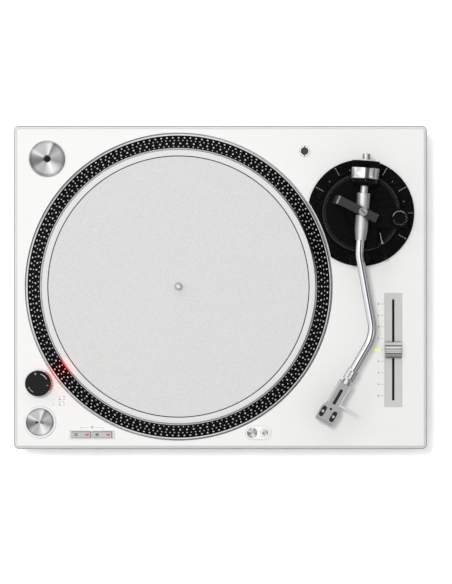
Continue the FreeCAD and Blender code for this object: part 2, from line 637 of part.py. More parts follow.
def make_electronics():
    top = s.board_level + s.board_thick
    board = slab("board_plate", s.board_wide, s.board_deep, s.board_level, top, s.board_x, s.board_y)
    pieces = [board]
    for index, (x, y) in enumerate(switch_places()):
        pieces.append(slab(f"switch_{index}", s.switch_size, s.switch_deep, top,
                           top + s.switch_height, x, y))
    for index, shift in enumerate((-1, 1)):
        pieces.append(slab(f"chip_{index}", s.chip_size, s.chip_size, top, top + s.chip_height,
                           s.board_x + shift * s.chip_size, s.board_y + s.chip_size / 2))
    node(group("board_group", *pieces), "main_board")
    core = slab("transformer_core", s.transformer_wide, s.transformer_deep, cover_top,
                cover_top + s.transformer_high, s.transformer_x, s.transformer_y)
    low = cover_top + (s.transformer_high - s.winding_high) / 2
    room = slab("winding_room", s.winding_wide, s.winding_deep + s.past, low, low + s.winding_high,
                s.transformer_x, s.transformer_y)
    winding = slab("winding", s.winding_wide, s.winding_deep, low, low + s.winding_high,
                   s.transformer_x, s.transformer_y)
    node(group("transformer_group", cut("transformer_frame", core, room), winding), "power_transformer")


def switch_places():
    return [(s.start_x, s.start_y), (s.speed_x - s.speed_pitch / 2, s.speed_y),
            (s.speed_x + s.speed_pitch / 2, s.speed_y)]


def make_connectors():
    floor_back = half_depth - s.recess_deep
    jacks = []
    for index, x in enumerate(jack_places()):
        barrel = long_rod(f"jack_barrel_{index}", s.jack_radius, floor_back - s.wall - s.jack_tail,
                          floor_back + s.jack_length, x, s.jack_level)
        flange = long_rod(f"jack_flange_{index}", s.jack_flange, floor_back, floor_back + s.flange_thick,
                          x, s.jack_level)
        bore = long_rod(f"jack_bore_{index}", s.jack_bore, floor_back + s.flange_thick / 2,
                        floor_back + s.jack_length + s.past, x, s.jack_level)
        jacks.append(cut(f"jack_{index}", fuse(f"jack_blank_{index}", barrel, flange), bore))
    node(group("jack_group", *jacks), "output_jacks")
    left = s.inlet_x - s.inlet_wide / 2
    right = s.inlet_x + s.inlet_wide / 2
    low = s.jack_level - s.inlet_high / 2
    high = s.jack_level + s.inlet_high / 2
    front = floor_back + s.flange_thick
    deepest = floor_back - s.wall - s.inlet_back
    body = block("inlet_body", left + s.running, right - s.running, floor_back - s.wall - s.inlet_tail,
                 floor_back + s.past, low + s.running, high - s.running)
    flange = block("inlet_flange", left - s.inlet_wall, right + s.inlet_wall, floor_back, front,
                   low - s.inlet_lip, high + s.inlet_lip)
    cavity = block("inlet_cavity", left + s.inlet_wall, right - s.inlet_wall, deepest, front + s.past,
                   low + s.inlet_wall, high - s.inlet_wall)
    shell = cut("inlet_shell", fuse("inlet_blank", body, flange), cavity)
    pins = []
    for index in (-1, 1):
        x = s.inlet_x + index * s.inlet_pin_x
        pins.append(block(f"inlet_pin_{index + 1}", x - s.inlet_pin_half, x + s.inlet_pin_half,
                          deepest - s.past, floor_back - s.past,
                          s.jack_level - s.inlet_pin_thin, s.jack_level + s.inlet_pin_thin))
    node(fuse("inlet_fused", shell, *pins), "power_inlet")


def make_strobe_tower():
    top = s.panel_top + s.tower_rise
    roof = top - s.tower_roof
    neck_low = panel_low - s.tower_tail
    profile = [
        (s.tower_neck - s.tower_wall, neck_low), (s.tower_neck, neck_low), (s.tower_neck, s.panel_top),
        (s.tower_radius, s.panel_top), (s.tower_radius, top), (s.knob_stem + s.running, top),
        (s.knob_stem + s.running, roof), (s.tower_neck - s.tower_wall, roof),
    ]
    housing = place(turned("tower_body", profile), s.tower_x, s.tower_y)
    low = s.panel_top + s.window_low
    high = s.panel_top + s.window_high
    opening = sector("window_cut", s.tower_radius + s.past, low, high, s.window_start, s.window_sweep,
                     s.tower_x, s.tower_y)
    middle = rod("window_keep", s.tower_bore, low, high, s.tower_x, s.tower_y)
    node(cut("tower_cut", housing, cut("window_tool", opening, middle)), "strobe_tower")
    lens = sector("window_slice", s.tower_radius - s.lens_inset, low + s.running, high - s.running,
                  s.window_start + s.lens_inset, s.window_sweep - 2 * s.lens_inset, s.tower_x, s.tower_y)
    core = rod("window_core", s.tower_bore + s.running, low - s.past, high + s.past, s.tower_x, s.tower_y)
    node(cut("window_cut_out", lens, core), "strobe_window")
    knob_low = top + s.knob_gap
    knob_top = knob_low + s.knob_height
    knob = [
        (0, roof), (s.knob_stem, roof), (s.knob_stem, knob_low), (s.knob_radius, knob_low),
        (s.knob_radius, knob_top - s.knob_edge), (s.knob_radius - s.knob_edge, knob_top), (0, knob_top),
    ]
    node(place(turned("power_knob_body", knob), s.tower_x, s.tower_y), "power_knob")


def make_start_button():
    bezel_in = s.start_radius + s.easy
    bezel_top = s.panel_top + s.bezel_rise
    profile = [
        (bezel_in, panel_low - s.start_tail), (s.start_neck, panel_low - s.start_tail),
        (s.start_neck, s.panel_top), (s.start_bezel, s.panel_top),
        (s.start_bezel, bezel_top - s.small_edge), (s.start_bezel - s.small_edge, bezel_top),
        (bezel_in, bezel_top),
    ]
    node(place(turned("start_bezel_body", profile), s.start_x, s.start_y), "start_stop_bezel")
    top = s.panel_top + s.start_rise
    button = [
        (0, s.stem_level), (s.stem_radius, s.stem_level), (s.stem_radius, s.panel_top - s.start_skirt),
        (s.start_radius, s.panel_top - s.start_skirt), (s.start_radius, top - s.small_edge),
        (s.start_radius - s.small_edge, top), (0, top),
    ]
    node(place(turned("start_button_body", button), s.start_x, s.start_y), "start_stop_button")


def make_speed_buttons():
    frame_top = s.panel_top + s.speed_frame
    frame = slab("speed_frame_plate", s.speed_bezel_wide, s.speed_bezel_deep, s.panel_top, frame_top,
                 s.speed_x, s.speed_y)
    neck = slab("speed_frame_neck", s.speed_bezel_wide - 2 * s.speed_neck_inset,
                s.speed_bezel_deep - 2 * s.speed_neck_inset, panel_low - s.frame_tail, frame_top,
                s.speed_x, s.speed_y)
    holes = []
    for side, label in ((-1, "speed_button_33"), (1, "speed_button_45")):
        x = s.speed_x + side * s.speed_pitch / 2
        holes.append(slab(f"{label}_hole", s.speed_wide + s.easy, s.speed_deep + s.easy,
                          panel_low - s.frame_tail - s.past, frame_top + s.past, x, s.speed_y))
        cap = slab(f"{label}_cap", s.speed_wide - s.easy, s.speed_deep - s.easy, panel_low,
                   s.panel_top + s.speed_rise, x, s.speed_y)
        stem = slab(f"{label}_stem", s.speed_stem, s.speed_stem, s.stem_level, panel_low + s.past,
                    x, s.speed_y)
        node(fuse(f"{label}_fused", cap, stem), label)
    node(cut("speed_frame_cut", fuse("speed_frame_blank", frame, neck), *holes), "speed_button_bezel")


def make_tempo_fader():
    top = s.panel_top + s.fader_plate_thick
    plate = slab("fader_plate", s.fader_plate_wide, s.fader_plate_long, s.panel_top, top,
                 s.fader_x, s.fader_y)
    slot = slab("fader_slot", s.fader_slot_wide, s.fader_slot_long, s.panel_top - s.past, top + s.past,
                s.fader_x, s.fader_y)
    node(cut("fader_plate_cut", plate, slot), "tempo_plate")
    body = slab("fader_case", s.fader_body_wide, s.fader_plate_long, panel_low - s.fader_body_high,
                panel_low, s.fader_x, s.fader_y)
    track = slab("fader_track", s.fader_track, s.fader_slot_long + s.fader_room,
                 panel_low - s.fader_body_high + s.fader_case_floor, panel_low + s.past, s.fader_x, s.fader_y)
    node(cut("fader_case_cut", body, track), "tempo_slider_unit")
    low = top + s.fader_knob_gap
    high = low + s.fader_knob_high
    cap = slab("fader_cap", s.fader_knob_wide, s.fader_knob_long, low, high, s.fader_x, s.fader_y)
    hollows = []
    for side in (-1, 1):
        for row, shift in enumerate((s.groove_inner, s.groove_outer)):
            hollows.append(slab(f"cap_groove_{side + 1}{row}", s.fader_knob_wide + s.past, s.groove_wide,
                                high - s.groove_deep, high + s.past, s.fader_x, s.fader_y + side * shift))
    stem = slab("fader_stem", s.fader_stem_wide, s.fader_stem_long, top - s.fader_stem_drop, low + s.past,
                s.fader_x, s.fader_y)
    node(fuse("tempo_knob_fused", cut("fader_cap_cut", cap, *hollows), stem), "tempo_knob")
    node(slab("zero_lens", s.zero_light_wide, s.zero_light_deep, panel_low + s.past,
              s.panel_top + s.zero_light_rise, s.zero_light_x, s.zero_light_y), "tempo_zero_light")


def make_target_light():
    top = s.panel_top + s.light_plate_thick
    plate = rounded("light_plate_blank", s.light_plate_long, s.light_plate_wide, s.light_plate_thick,
                    s.light_plate_wide / 2 - s.plate_round_short)
    place(plate, s.light_x, s.light_y, s.panel_top)
    guide_low = panel_low - s.guide_long
    ring_low = panel_low - s.button_guide_long
    ring_top = top + s.button_guide_rise
    guide = rod("light_guide", s.barrel_tube, guide_low, top, s.barrel_x, s.light_y)
    ring = rod("light_button_guide", s.light_button_ring, ring_low, ring_top, s.light_button_x, s.light_y)
    barrel_hole = rod("barrel_hole", s.barrel_radius + s.easy / 2, guide_low - s.past, top + s.past,
                      s.barrel_x, s.light_y)
    button_hole = rod("light_button_hole", s.light_button_radius + s.easy / 2, ring_low - s.past,
                      ring_top + s.past, s.light_button_x, s.light_y)
    node(cut("light_plate_cut", fuse("light_plate_fused", plate, guide, ring), barrel_hole, button_hole),
         "target_light_plate")
    barrel_top = s.panel_top + s.barrel_rise
    barrel = [
        (0, barrel_top - s.barrel_drop), (s.barrel_radius, barrel_top - s.barrel_drop),
        (s.barrel_radius, barrel_top - s.small_edge), (s.barrel_radius - s.small_edge, barrel_top),
        (0, barrel_top),
    ]
    light = place(turned("barrel_body", barrel), s.barrel_x, s.light_y)
    lens_room = slab("lens_room", s.barrel_radius, s.barrel_radius, barrel_top - s.lens_low,
                     barrel_top - s.lens_top, s.barrel_x, s.light_y + s.barrel_radius)
    node(cut("target_light_cut", light, lens_room), "target_light")
    button_top = top + s.light_button_rise
    button = [
        (0, panel_low - s.past), (s.light_button_radius, panel_low - s.past),
        (s.light_button_radius, button_top - s.button_edge),
        (s.light_button_radius - s.button_edge, button_top), (0, button_top),
    ]
    node(place(turned("light_button_body", button), s.light_button_x, s.light_y), "target_light_button")


def make_socket_and_adapter():
    low = s.panel_top - s.socket_drop
    top = s.panel_top + s.socket_rise
    socket = [
        (s.socket_bore, low), (s.socket_neck, low), (s.socket_neck, s.panel_top),
        (s.socket_ring, s.panel_top), (s.socket_ring, top), (s.socket_bore, top),
    ]
    node(place(turned("socket_body", socket), s.socket_x, s.socket_y), "headshell_socket")
    floor = s.panel_top - s.recess_depth
    adapter_top = floor + s.adapter_height
    adapter = [
        (s.adapter_bore, floor), (s.adapter_radius, floor),
        (s.adapter_radius, adapter_top - s.adapter_bevel / 2),
        (s.adapter_radius - s.adapter_bevel, adapter_top), (s.adapter_bore, adapter_top),
    ]
    node(place(turned("adapter_body", adapter), s.adapter_x, s.adapter_y), "ep_adapter")


def make_arm_base():
    disc = rod("base_disc", s.base_radius, s.panel_top, base_top, s.pivot_x, s.pivot_y)
    under = s.panel_top - s.past
    over = base_top + s.past
    well = rod("base_well", well_radius + s.base_margin, under, over, s.spindle_x, s.spindle_y)
    hole = rod("base_hole", s.column_radius + s.easy, under, over, s.pivot_x, s.pivot_y)
    node(cut("base_cut", disc, well, hole), "arm_base_plate")
    low = base_top + s.running
    ring = [
        (s.ring_inner, low), (s.ring_outer, low), (s.ring_outer, low + s.ring_height - s.ring_flat),
        (s.ring_outer - s.ring_bevel, low + s.ring_height), (s.ring_inner, low + s.ring_height),
    ]
    node(place(turned("height_ring_body", ring), s.pivot_x, s.pivot_y), "height_ring")
    post_top = s.arm_level - s.gimbal_outer - s.pivot_clear
    turret_top = platform_top + s.turret_rise
    core = [
        (0, s.panel_top - s.column_drop), (s.column_radius, s.panel_top - s.column_drop),
        (s.column_radius, platform_low), (s.platform_radius, platform_low),
        (s.platform_radius, platform_top), (s.turret_radius, platform_top),
        (s.turret_radius, turret_top - s.turret_edge), (s.turret_radius - s.turret_edge, turret_top),
        (s.pivot_post, turret_top), (s.pivot_post, post_top), (0, post_top),
    ]
    turret = turned("platform_body", core)
    skate = block("skate_block", s.skate_start, s.skate_reach, s.skate_front, s.skate_back,
                  platform_top - s.box_root, platform_top + s.skate_high)
    cue_top = platform_top + s.cue_box_high
    cue_box = block("cue_box", s.cue_box_left, s.cue_box_right, s.cue_box_front, s.cue_box_back,
                    platform_top - s.box_root, cue_top)
    post_x = s.lift_radius * cosine(s.lift_post_angle)
    post_y = s.lift_radius * sine(s.lift_post_angle)
    stem_bore = s.small_stem + s.running
    cavities = [
        rod("lift_bore", stem_bore, cue_top - s.lift_bore_depth - s.lift_bore_spare, cue_top + s.past,
            post_x, post_y),
        cross_rod("lever_bore", stem_bore, s.cue_box_right - s.lever_bore_long, s.cue_box_right + s.past,
                  s.cue_axis_y, platform_top + s.cue_axis_rise),
        rod("skate_bore", stem_bore, platform_top + s.skate_bore_low, platform_top + s.skate_high + s.past,
            s.skate_knob_x, s.skate_knob_y),
        rod("lock_bore", stem_bore, platform_top - s.lock_bore_deep, platform_top + s.past,
            s.lock_x, s.lock_y),
    ]
    casting = fuse("platform_fused", turret, skate, cue_box)
    node(on_pivot(cut("platform_cut", casting, *cavities)), "arm_platform")


def make_bridge():
    bar = block("bridge_bar", -s.bridge_short_side, s.bridge_long_side, -s.bridge_wide / 2, s.bridge_wide / 2,
                bridge_low, bridge_top)
    far_leg = block("bridge_far_leg", s.bridge_long_side - s.long_leg, s.bridge_long_side,
                    -s.bridge_wide / 2, s.bridge_wide / 2, platform_top, bridge_top)
    near_leg = block("bridge_near_leg", -s.bridge_short_side, -s.bridge_short_side + s.short_leg,
                     -s.bridge_wide / 2, s.bridge_wide / 2, platform_top, bridge_top)
    near_leg_turret = rod("bridge_turret_room", s.turret_radius + s.running, platform_top - s.past,
                          platform_top + s.turret_rise + s.easy)
    hole = rod("bridge_hole", s.pivot_screw + s.running, bridge_low - s.past, bridge_top + s.past)
    arch = cut("bridge_cut", fuse("bridge_fused", bar, far_leg, near_leg), near_leg_turret, hole)
    node(on_pivot(arch, s.bridge_turn), "gimbal_bridge")
    shank = rod("pivot_shank", s.pivot_screw, gimbal_top + s.pivot_clear,
                bridge_top + s.pivot_shank_up)
    head_top = bridge_top + s.pivot_head_high
    head = rod("pivot_head_rod", s.pivot_head, bridge_top, head_top)
    slot = slab("pivot_slot", 2 * s.pivot_head + s.past, s.pivot_slot_wide, head_top - s.pivot_slot_deep,
                head_top + s.past)
    screw = cut("pivot_screw_cut", fuse("pivot_screw_fused", shank, head), slot)
    node(on_pivot(screw, s.pivot_slot_turn), "pivot_screw")


def make_cue_and_knobs():
    half = s.lift_wide / 2
    low = s.arm_level - s.lift_below - s.lift_thick
    high = s.arm_level - s.lift_below
    outer = sector("lift_outer", s.lift_radius + half, low, high, s.lift_start, s.lift_sweep)
    inner = rod("lift_inner", s.lift_radius - half, low - s.past, high + s.past)
    cue_top = platform_top + s.cue_box_high
    post_x = s.lift_radius * cosine(s.lift_post_angle)
    post_y = s.lift_radius * sine(s.lift_post_angle)
    post = rod("lift_post", s.small_stem, cue_top - s.lift_bore_depth + s.lift_post_up, high,
               post_x, post_y)
    node(on_pivot(fuse("lift_fused", cut("lift_arc", outer, inner), post)), "cue_lift_bar")

    axle = cross_rod("lever_axle", s.small_stem, s.cue_box_right - s.lever_axle_long,
                     s.lever_side + s.lever_rod)
    rod_piece = long_rod("lever_rod_piece", s.lever_rod, -s.lever_length, 0, s.lever_side, 0)
    grip = long_rod("lever_grip", s.grip_radius, -s.lever_length - s.grip_length, -s.lever_length,
                    s.lever_side, 0)
    lever = place(fuse("lever_fused", axle, rod_piece, grip), s.pivot_x, s.pivot_y + s.cue_axis_y,
                  platform_top + s.cue_axis_rise, -s.lever_tilt, SIDEWAYS)
    node(lever, "cue_lever")

    knob_low = platform_top + s.skate_high + s.easy
    knob = rod("skate_knob_rod", s.skate_knob_radius, knob_low, knob_low + s.skate_knob_height,
               s.skate_knob_x, s.skate_knob_y)
    stem = rod("skate_knob_stem", s.small_stem, platform_top + s.knob_stem_low, knob_low + s.past,
               s.skate_knob_x, s.skate_knob_y)
    node(on_pivot(fuse("skate_knob_fused", knob, stem)), "anti_skate_knob")

    lock_low = platform_top + s.easy
    hub = rod("lock_hub", s.lock_radius, lock_low, lock_low + s.lock_height)
    lock_stem = rod("lock_stem", s.small_stem, platform_top - s.lock_stem_deep, lock_low + s.past)
    arm = block("lock_arm", 0, s.lock_reach, -s.lock_wide / 2, s.lock_wide / 2,
                lock_low + s.lock_rise, lock_low + s.lock_rise + s.lock_thick)
    lock = fuse("lock_fused", hub, lock_stem, arm)
    node(place(lock, s.pivot_x + s.lock_x, s.pivot_y + s.lock_y, 0, s.lock_turn), "height_lock_lever")


def make_arm_rest():
    saddle_top = s.arm_level - s.tube_radius - s.rest_clear
    saddle_low = saddle_top - s.rest_saddle_high
    prong_top = s.arm_level + s.prong_top
    post = rod("rest_post_rod", s.rest_post, base_top, saddle_low + s.past)
    saddle = block("rest_saddle", -s.rest_wide_in, s.rest_wide_out, -s.rest_deep / 2, s.rest_deep / 2,
                   saddle_low, saddle_top)
    prong = block("rest_prong", s.prong_gap, s.rest_wide_out, -s.rest_deep / 2, s.rest_deep / 2,
                  saddle_low, prong_top)
    hinge_x = (s.prong_gap + s.rest_wide_out) / 2
    hinge_z = prong_top + s.hinge_rise
    pin = long_rod("rest_pin", s.clamp_pin, -s.rest_deep / 2, s.rest_deep / 2, hinge_x, hinge_z)
    lugs = []
    for side in (-1, 1):
        middle = side * (s.rest_deep + s.clamp_wide + 2 * s.easy) / 4
        thick = (s.rest_deep - s.clamp_wide - 2 * s.easy) / 2
        lugs.append(block(f"rest_lug_{side + 1}", s.prong_gap, s.rest_wide_out, middle - thick / 2,
                          middle + thick / 2, prong_top - s.past, hinge_z + s.clamp_eye))
    rest = fuse("rest_fused", post, saddle, prong, pin, *lugs)
    node(place(rest, s.rest_x, s.rest_y, 0, s.rest_turn), "arm_rest")
    eye = long_rod("clamp_eye_rod", s.clamp_eye - s.clamp_clear, -s.clamp_wide / 2, s.clamp_wide / 2,
                   hinge_x, hinge_z)
    outer = s.rest_wide_out + s.clamp_clear
    strap = block("clamp_strap", outer, outer + s.clamp_thick, -s.clamp_wide / 2, s.clamp_wide / 2,
                  hinge_z - s.clamp_long, hinge_z + s.clamp_eye - s.clamp_clear)
    link = block("clamp_link", hinge_x, outer + s.clamp_thick, -s.clamp_wide / 2, s.clamp_wide / 2,
                 hinge_z, hinge_z + s.clamp_eye - s.clamp_clear)
    bore = long_rod("clamp_bore", s.clamp_pin + s.running, -s.clamp_wide, s.clamp_wide, hinge_x, hinge_z)
    clamp = cut("clamp_cut", fuse("clamp_fused", eye, strap, link), bore)
    node(place(clamp, s.rest_x, s.rest_y, 0, s.rest_turn), "arm_rest_clamp")


def make_gimbal():
    half = s.gimbal_thick / 2
    ring = turned("gimbal_body", [
        (s.gimbal_inner, -half), (s.gimbal_outer, -half), (s.gimbal_outer, half), (s.gimbal_inner, half),
    ], "y")
    reach = s.sleeve_radius + s.pivot_clear
    pins = [
        cross_rod("gimbal_pin_right", s.gimbal_pin, reach, s.gimbal_outer - s.pin_short),
        cross_rod("gimbal_pin_left", s.gimbal_pin, -s.gimbal_outer + s.pin_short, -reach),
    ]
    node(on_arm(fuse("gimbal_fused", ring, *pins)), "gimbal_ring")


def make_arm():
    sleeve = [
        (s.tube_radius, -s.sleeve_nose), (s.sleeve_nose_radius, -s.sleeve_nose),
        (s.sleeve_radius, -s.sleeve_front), (s.sleeve_radius, s.sleeve_back),
        (s.shaft_radius, s.sleeve_back), (s.shaft_radius, s.shaft_start),
        (s.tube_bore, s.shaft_start), (s.tube_bore, -s.tube_start), (s.tube_radius, -s.tube_start),
    ]
    node(on_arm(turned("arm_sleeve_body", sleeve, "y")), "arm_sleeve")
    shaft = [
        (0, s.shaft_start), (s.shaft_radius, s.shaft_start), (s.shaft_radius, s.shaft_end - s.shaft_edge),
        (s.shaft_radius - s.shaft_edge, s.shaft_end), (0, s.shaft_end),
    ]
    node(on_arm(turned("rear_shaft_body", shaft, "y")), "rear_shaft")
    tube = document.addObject("Part::Feature", "arm_tube_feature")
    tube.Shape = arm_tube_shape()
    node(on_arm(tube), "arm_tube")


def arm_path():
    """The tube's centre line: straight runs joined by tangent arcs at its two bends."""
    first = number(s.first_turn)
    after = number(s.first_turn - s.second_turn)
    start = FreeCAD.Vector(0, -number(s.tube_start), 0)
    bend = FreeCAD.Vector(0, -number(s.first_bend), 0)
    elbow = FreeCAD.Vector(number(bend_x), number(bend_y), 0)
    end = elbow + heading(after) * number(s.lower_run)
    edges = []
    here = start
    bends = (
        (bend, heading(0), heading(first), first, number(s.first_bend_radius)),
        (elbow, heading(first), heading(after), number(s.second_turn), number(s.second_bend_radius)),
    )
    for corner, before, beyond, turn, radius in bends:
        reach = radius * math.tan(math.radians(turn / 2))
        enter = corner - before * reach
        leave = corner + beyond * reach
        inward = beyond - before
        inward.normalize()
        centre = corner + inward * (radius / math.cos(math.radians(turn / 2)))
        middle = centre - inward * radius
        edges.append(Part.LineSegment(here, enter).toShape())
        edges.append(Part.Arc(enter, middle, leave).toShape())
        here = leave
    edges.append(Part.LineSegment(here, end).toShape())
    return Part.Wire(edges), start


def heading(angle):
    """The way along -Y, turned towards +X by an angle."""
    turn = math.radians(angle)
    return FreeCAD.Vector(math.sin(turn), -math.cos(turn), 0)


def arm_tube_shape():
    path, start = arm_path()
    tubes = []
    for radius in (number(s.tube_radius), number(s.tube_bore)):
        ring = Part.Wire([Part.Circle(start, heading(0), radius).toShape()])
        tubes.append(path.makePipeShell([ring], True, False))
    return tubes[0].cut(tubes[1])


def make_counterweight():
    insert = [
        (s.shaft_radius + s.running, s.insert_front), (s.insert_radius, s.insert_front),
        (s.insert_radius, s.insert_back), (s.shaft_radius + s.running, s.insert_back),
    ]
    node(on_arm(turned("insert_body", insert, "y")), "counterweight_insert")
    bore = s.insert_radius + s.running
    shoulder = s.weight_radius - s.weight_edge
    weight = [
        (bore, s.weight_front), (shoulder, s.weight_front), (s.weight_radius, s.weight_front + s.weight_edge),
        (s.weight_radius, s.weight_back - s.weight_edge), (shoulder, s.weight_back), (bore, s.weight_back),
    ]
    node(on_arm(turned("weight_body", weight, "y")), "counterweight")
    dial_back = s.weight_front - s.dial_gap
    dial = [
        (bore, s.dial_front), (s.dial_nose, s.dial_front), (s.dial_radius, s.dial_bevel_end),
        (s.dial_radius, dial_back), (bore, dial_back),
    ]
    node(on_arm(turned("dial_body", dial, "y")), "counterweight_dial")


def make_headshell():
    collar = [
        (s.tube_radius + s.running, -s.collar_end), (s.collar_radius - s.collar_edge, -s.collar_end),
        (s.collar_radius, -s.collar_end + s.collar_edge), (s.collar_radius, -s.collar_start - s.collar_edge),
        (s.collar_radius - s.collar_edge, -s.collar_start), (s.tube_radius + s.running, -s.collar_start),
    ]
    node(on_shell(turned("collar_body", collar, "y")), "arm_collar")
    back = -s.shell_back
    front = back - s.shell_long
    right = [
        (s.shell_nose, front), (s.shell_cheek, front + s.shell_brow), (s.shell_half, front + s.shell_round),
        (s.shell_half, back - s.shell_shoulder), (s.shell_neck_half, back - s.shell_neck),
        (s.shell_tail_half, back),
    ]
    points = [(-x, y) for x, y in right[::-1]] + right
    plate = place(padded("shell_plate", points, s.shell_above + s.shell_below), 0, 0, -s.shell_below)
    root = block("shell_root", -s.shell_neck_half, s.shell_neck_half, back - s.shell_block_long, back,
                 -s.shell_block_below, s.shell_above)
    stub = long_rod("shell_stub", s.tube_radius - s.stub_clear, back - s.stub_root, -s.stub_start)
    under = -s.shell_below - s.past
    over = s.shell_above + s.past
    slots = [
        block("neck_slot", -s.slot_wide / 2, s.slot_wide / 2, back - s.neck_slot_start - s.neck_slot_long,
              back - s.neck_slot_start, under, over),
    ]
    head_top = s.shell_above + s.screw_head_high
    screws = []
    for side in (-1, 1):
        x = side * s.screw_apart / 2
        slots.append(slab(f"screw_slot_{side + 1}", s.slot_wide, s.screw_slot_long, under, over,
                          x, -screw_run))
        shank = rod(f"screw_shank_{side + 1}", s.cartridge_screw, -s.shell_below - s.screw_grip,
                    s.shell_above + s.shank_up, x, -screw_run)
        head = rod(f"screw_top_{side + 1}", s.screw_head, s.shell_above, head_top, x, -screw_run)
        slot = slab(f"screw_drive_{side + 1}", 2 * s.screw_head + s.past, s.drive_wide,
                    head_top - s.drive_deep, head_top + s.past, x, -screw_run)
        screws.append(cut(f"screw_{side + 1}", fuse(f"screw_blank_{side + 1}", shank, head), slot))
    node(on_shell(cut("shell_cut", fuse("shell_fused", plate, root, stub), *slots)), "headshell")
    node(on_shell(group("screw_group", *screws)), "cartridge_screws")

    finger_y = back - s.lift_start_back
    finger = [
        (s.shell_neck_half, finger_y - s.finger_root), (s.finger_reach, finger_y - s.finger_tip),
        (s.finger_reach, finger_y + s.finger_tip), (s.shell_neck_half, finger_y + s.finger_root),
    ]
    node(place(padded("finger_body", finger, s.finger_thick), elbow_x, elbow_y,
               s.arm_level + s.shell_above - s.finger_thick, shell_yaw), "finger_lift")

    nose = front + s.cartridge_front
    body = block("cartridge_block", -s.cartridge_wide / 2, s.cartridge_wide / 2,
                 nose, nose + s.cartridge_long, -s.shell_below - s.cartridge_high, -s.shell_below)
    holes = []
    for side in (-1, 1):
        holes.append(rod(f"cartridge_hole_{side + 1}", s.cartridge_screw + s.running,
                         -s.shell_below - s.screw_grip - s.past, 0, side * s.screw_apart / 2, -screw_run))
    node(on_shell(cut("cartridge_cut", body, *holes)), "cartridge")
    low = -s.shell_below - s.cartridge_high
    holder = block("stylus_holder", -s.stylus_wide / 2, s.stylus_wide / 2, nose, nose + s.stylus_long,
                   low - s.stylus_high, low)
    needle = rod("needle", s.needle_radius, low - s.stylus_high - s.needle_length,
                 low - s.stylus_high + s.needle_root, 0, nose + s.needle_back)
    node(on_shell(fuse("stylus_fused", holder, needle)), "stylus")


def check(pieces):
    """Stops if any object of the document failed, or a sub-part has no sound solid."""
    broken = [thing.Name for thing in document.Objects if {"Invalid", "Error"} & set(thing.State)]
    unsound = [piece.Label for piece in pieces if piece.Shape.isNull() or not piece.Shape.isValid()]
    empty = [piece.Label for piece in pieces if not piece.Shape.Solids]
    if broken or unsound or empty:
        raise ValueError(f"failed {broken}, unsound {unsound}, empty {empty}")


def main():
    make_top_panel()
    make_cabinet()
    make_bottom()
    make_feet()
    make_motor()
    make_platter()
    make_electronics()
    make_connectors()
    make_strobe_tower()
    make_start_button()
    make_speed_buttons()
    make_tempo_fader()
    make_target_light()
    make_socket_and_adapter()
    make_arm_base()
    make_bridge()
    make_cue_and_knobs()
    make_arm_rest()
    make_gimbal()
    make_arm()
    make_counterweight()
    make_headshell()
    document.recompute()
    check(nodes)
    os.makedirs("parts", exist_ok=True)
    for piece in nodes:
        piece.Shape.exportStep(os.path.join("parts", f"{piece.Label}.step"))
    print(len(nodes), "sub-parts")


main()
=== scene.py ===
import json
import math

import bmesh
import bpy
from mathutils import Matrix, Vector, noise


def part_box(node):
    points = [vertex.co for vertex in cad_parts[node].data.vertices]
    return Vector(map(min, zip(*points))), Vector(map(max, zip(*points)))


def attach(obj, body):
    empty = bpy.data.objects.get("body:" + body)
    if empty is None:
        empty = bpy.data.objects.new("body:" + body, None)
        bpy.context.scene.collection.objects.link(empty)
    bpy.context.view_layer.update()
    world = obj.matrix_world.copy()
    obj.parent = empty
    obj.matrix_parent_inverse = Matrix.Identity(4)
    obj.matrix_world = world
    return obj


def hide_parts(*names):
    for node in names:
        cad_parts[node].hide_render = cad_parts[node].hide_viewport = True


# A direct-drive turntable. Lengths below are in millimetres, and MM scales them to metres.

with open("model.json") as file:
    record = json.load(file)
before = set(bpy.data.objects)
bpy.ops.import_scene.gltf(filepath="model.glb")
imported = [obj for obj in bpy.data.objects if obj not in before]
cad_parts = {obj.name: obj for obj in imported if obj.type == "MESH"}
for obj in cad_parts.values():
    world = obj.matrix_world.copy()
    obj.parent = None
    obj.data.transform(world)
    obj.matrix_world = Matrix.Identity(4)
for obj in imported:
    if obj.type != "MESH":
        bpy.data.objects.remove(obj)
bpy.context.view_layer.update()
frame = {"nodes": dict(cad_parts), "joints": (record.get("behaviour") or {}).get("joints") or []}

MM = 0.001
joints = {joint["name"]: joint for joint in frame["joints"]}


def joint_place(name):
    return Vector(joints[name]["pos_m"]) / MM


def extent(node):
    """A node's low corner, high corner and middle."""
    low, high = (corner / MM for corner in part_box(node))
    return low, high, (low + high) / 2


def low_of(node):
    return extent(node)[0]


def high_of(node):
    return extent(node)[1]


def middle_of(node):
    return extent(node)[2]


def upright_at(x, y, z=0.0, turn=0.0):
    return Matrix.Translation((x, y, z)) @ Matrix.Rotation(math.radians(turn), 4, "Z")


spindle = joint_place("platter_spin")
pivot = joint_place("tonearm_swing")
elbow = joint_place("arm_collar_turn")
arm_back = Vector(joints["counterweight_turn"]["axis"])
shell_way = Vector(joints["headshell_pull"]["axis"])
arm_turn = math.atan2(-arm_back.x, arm_back.y)
shell_turn = math.atan2(shell_way.x, -shell_way.y)
panel = low_of("arm_base_plate").z
platter_top = high_of("platter").z

AT_PLATTER = Matrix.Translation((spindle.x, spindle.y, 0))
AT_PIVOT = Matrix.Translation((pivot.x, pivot.y, 0))
ON_ARM = Matrix.Translation(pivot) @ Matrix.Rotation(arm_turn, 4, "Z")
ON_SHELL = Matrix.Translation(elbow) @ Matrix.Rotation(shell_turn, 4, "Z")
ALONG_Y = Matrix.Rotation(math.radians(-90), 4, "X")


# ---------------------------------------------------------------- materials


GRAIN_DEPTH = 0.0002
TURNING_DEPTH = 0.00003
NOISE_LOW, NOISE_HIGH = 0.3, 0.7
RARE_FLECK = 0.62


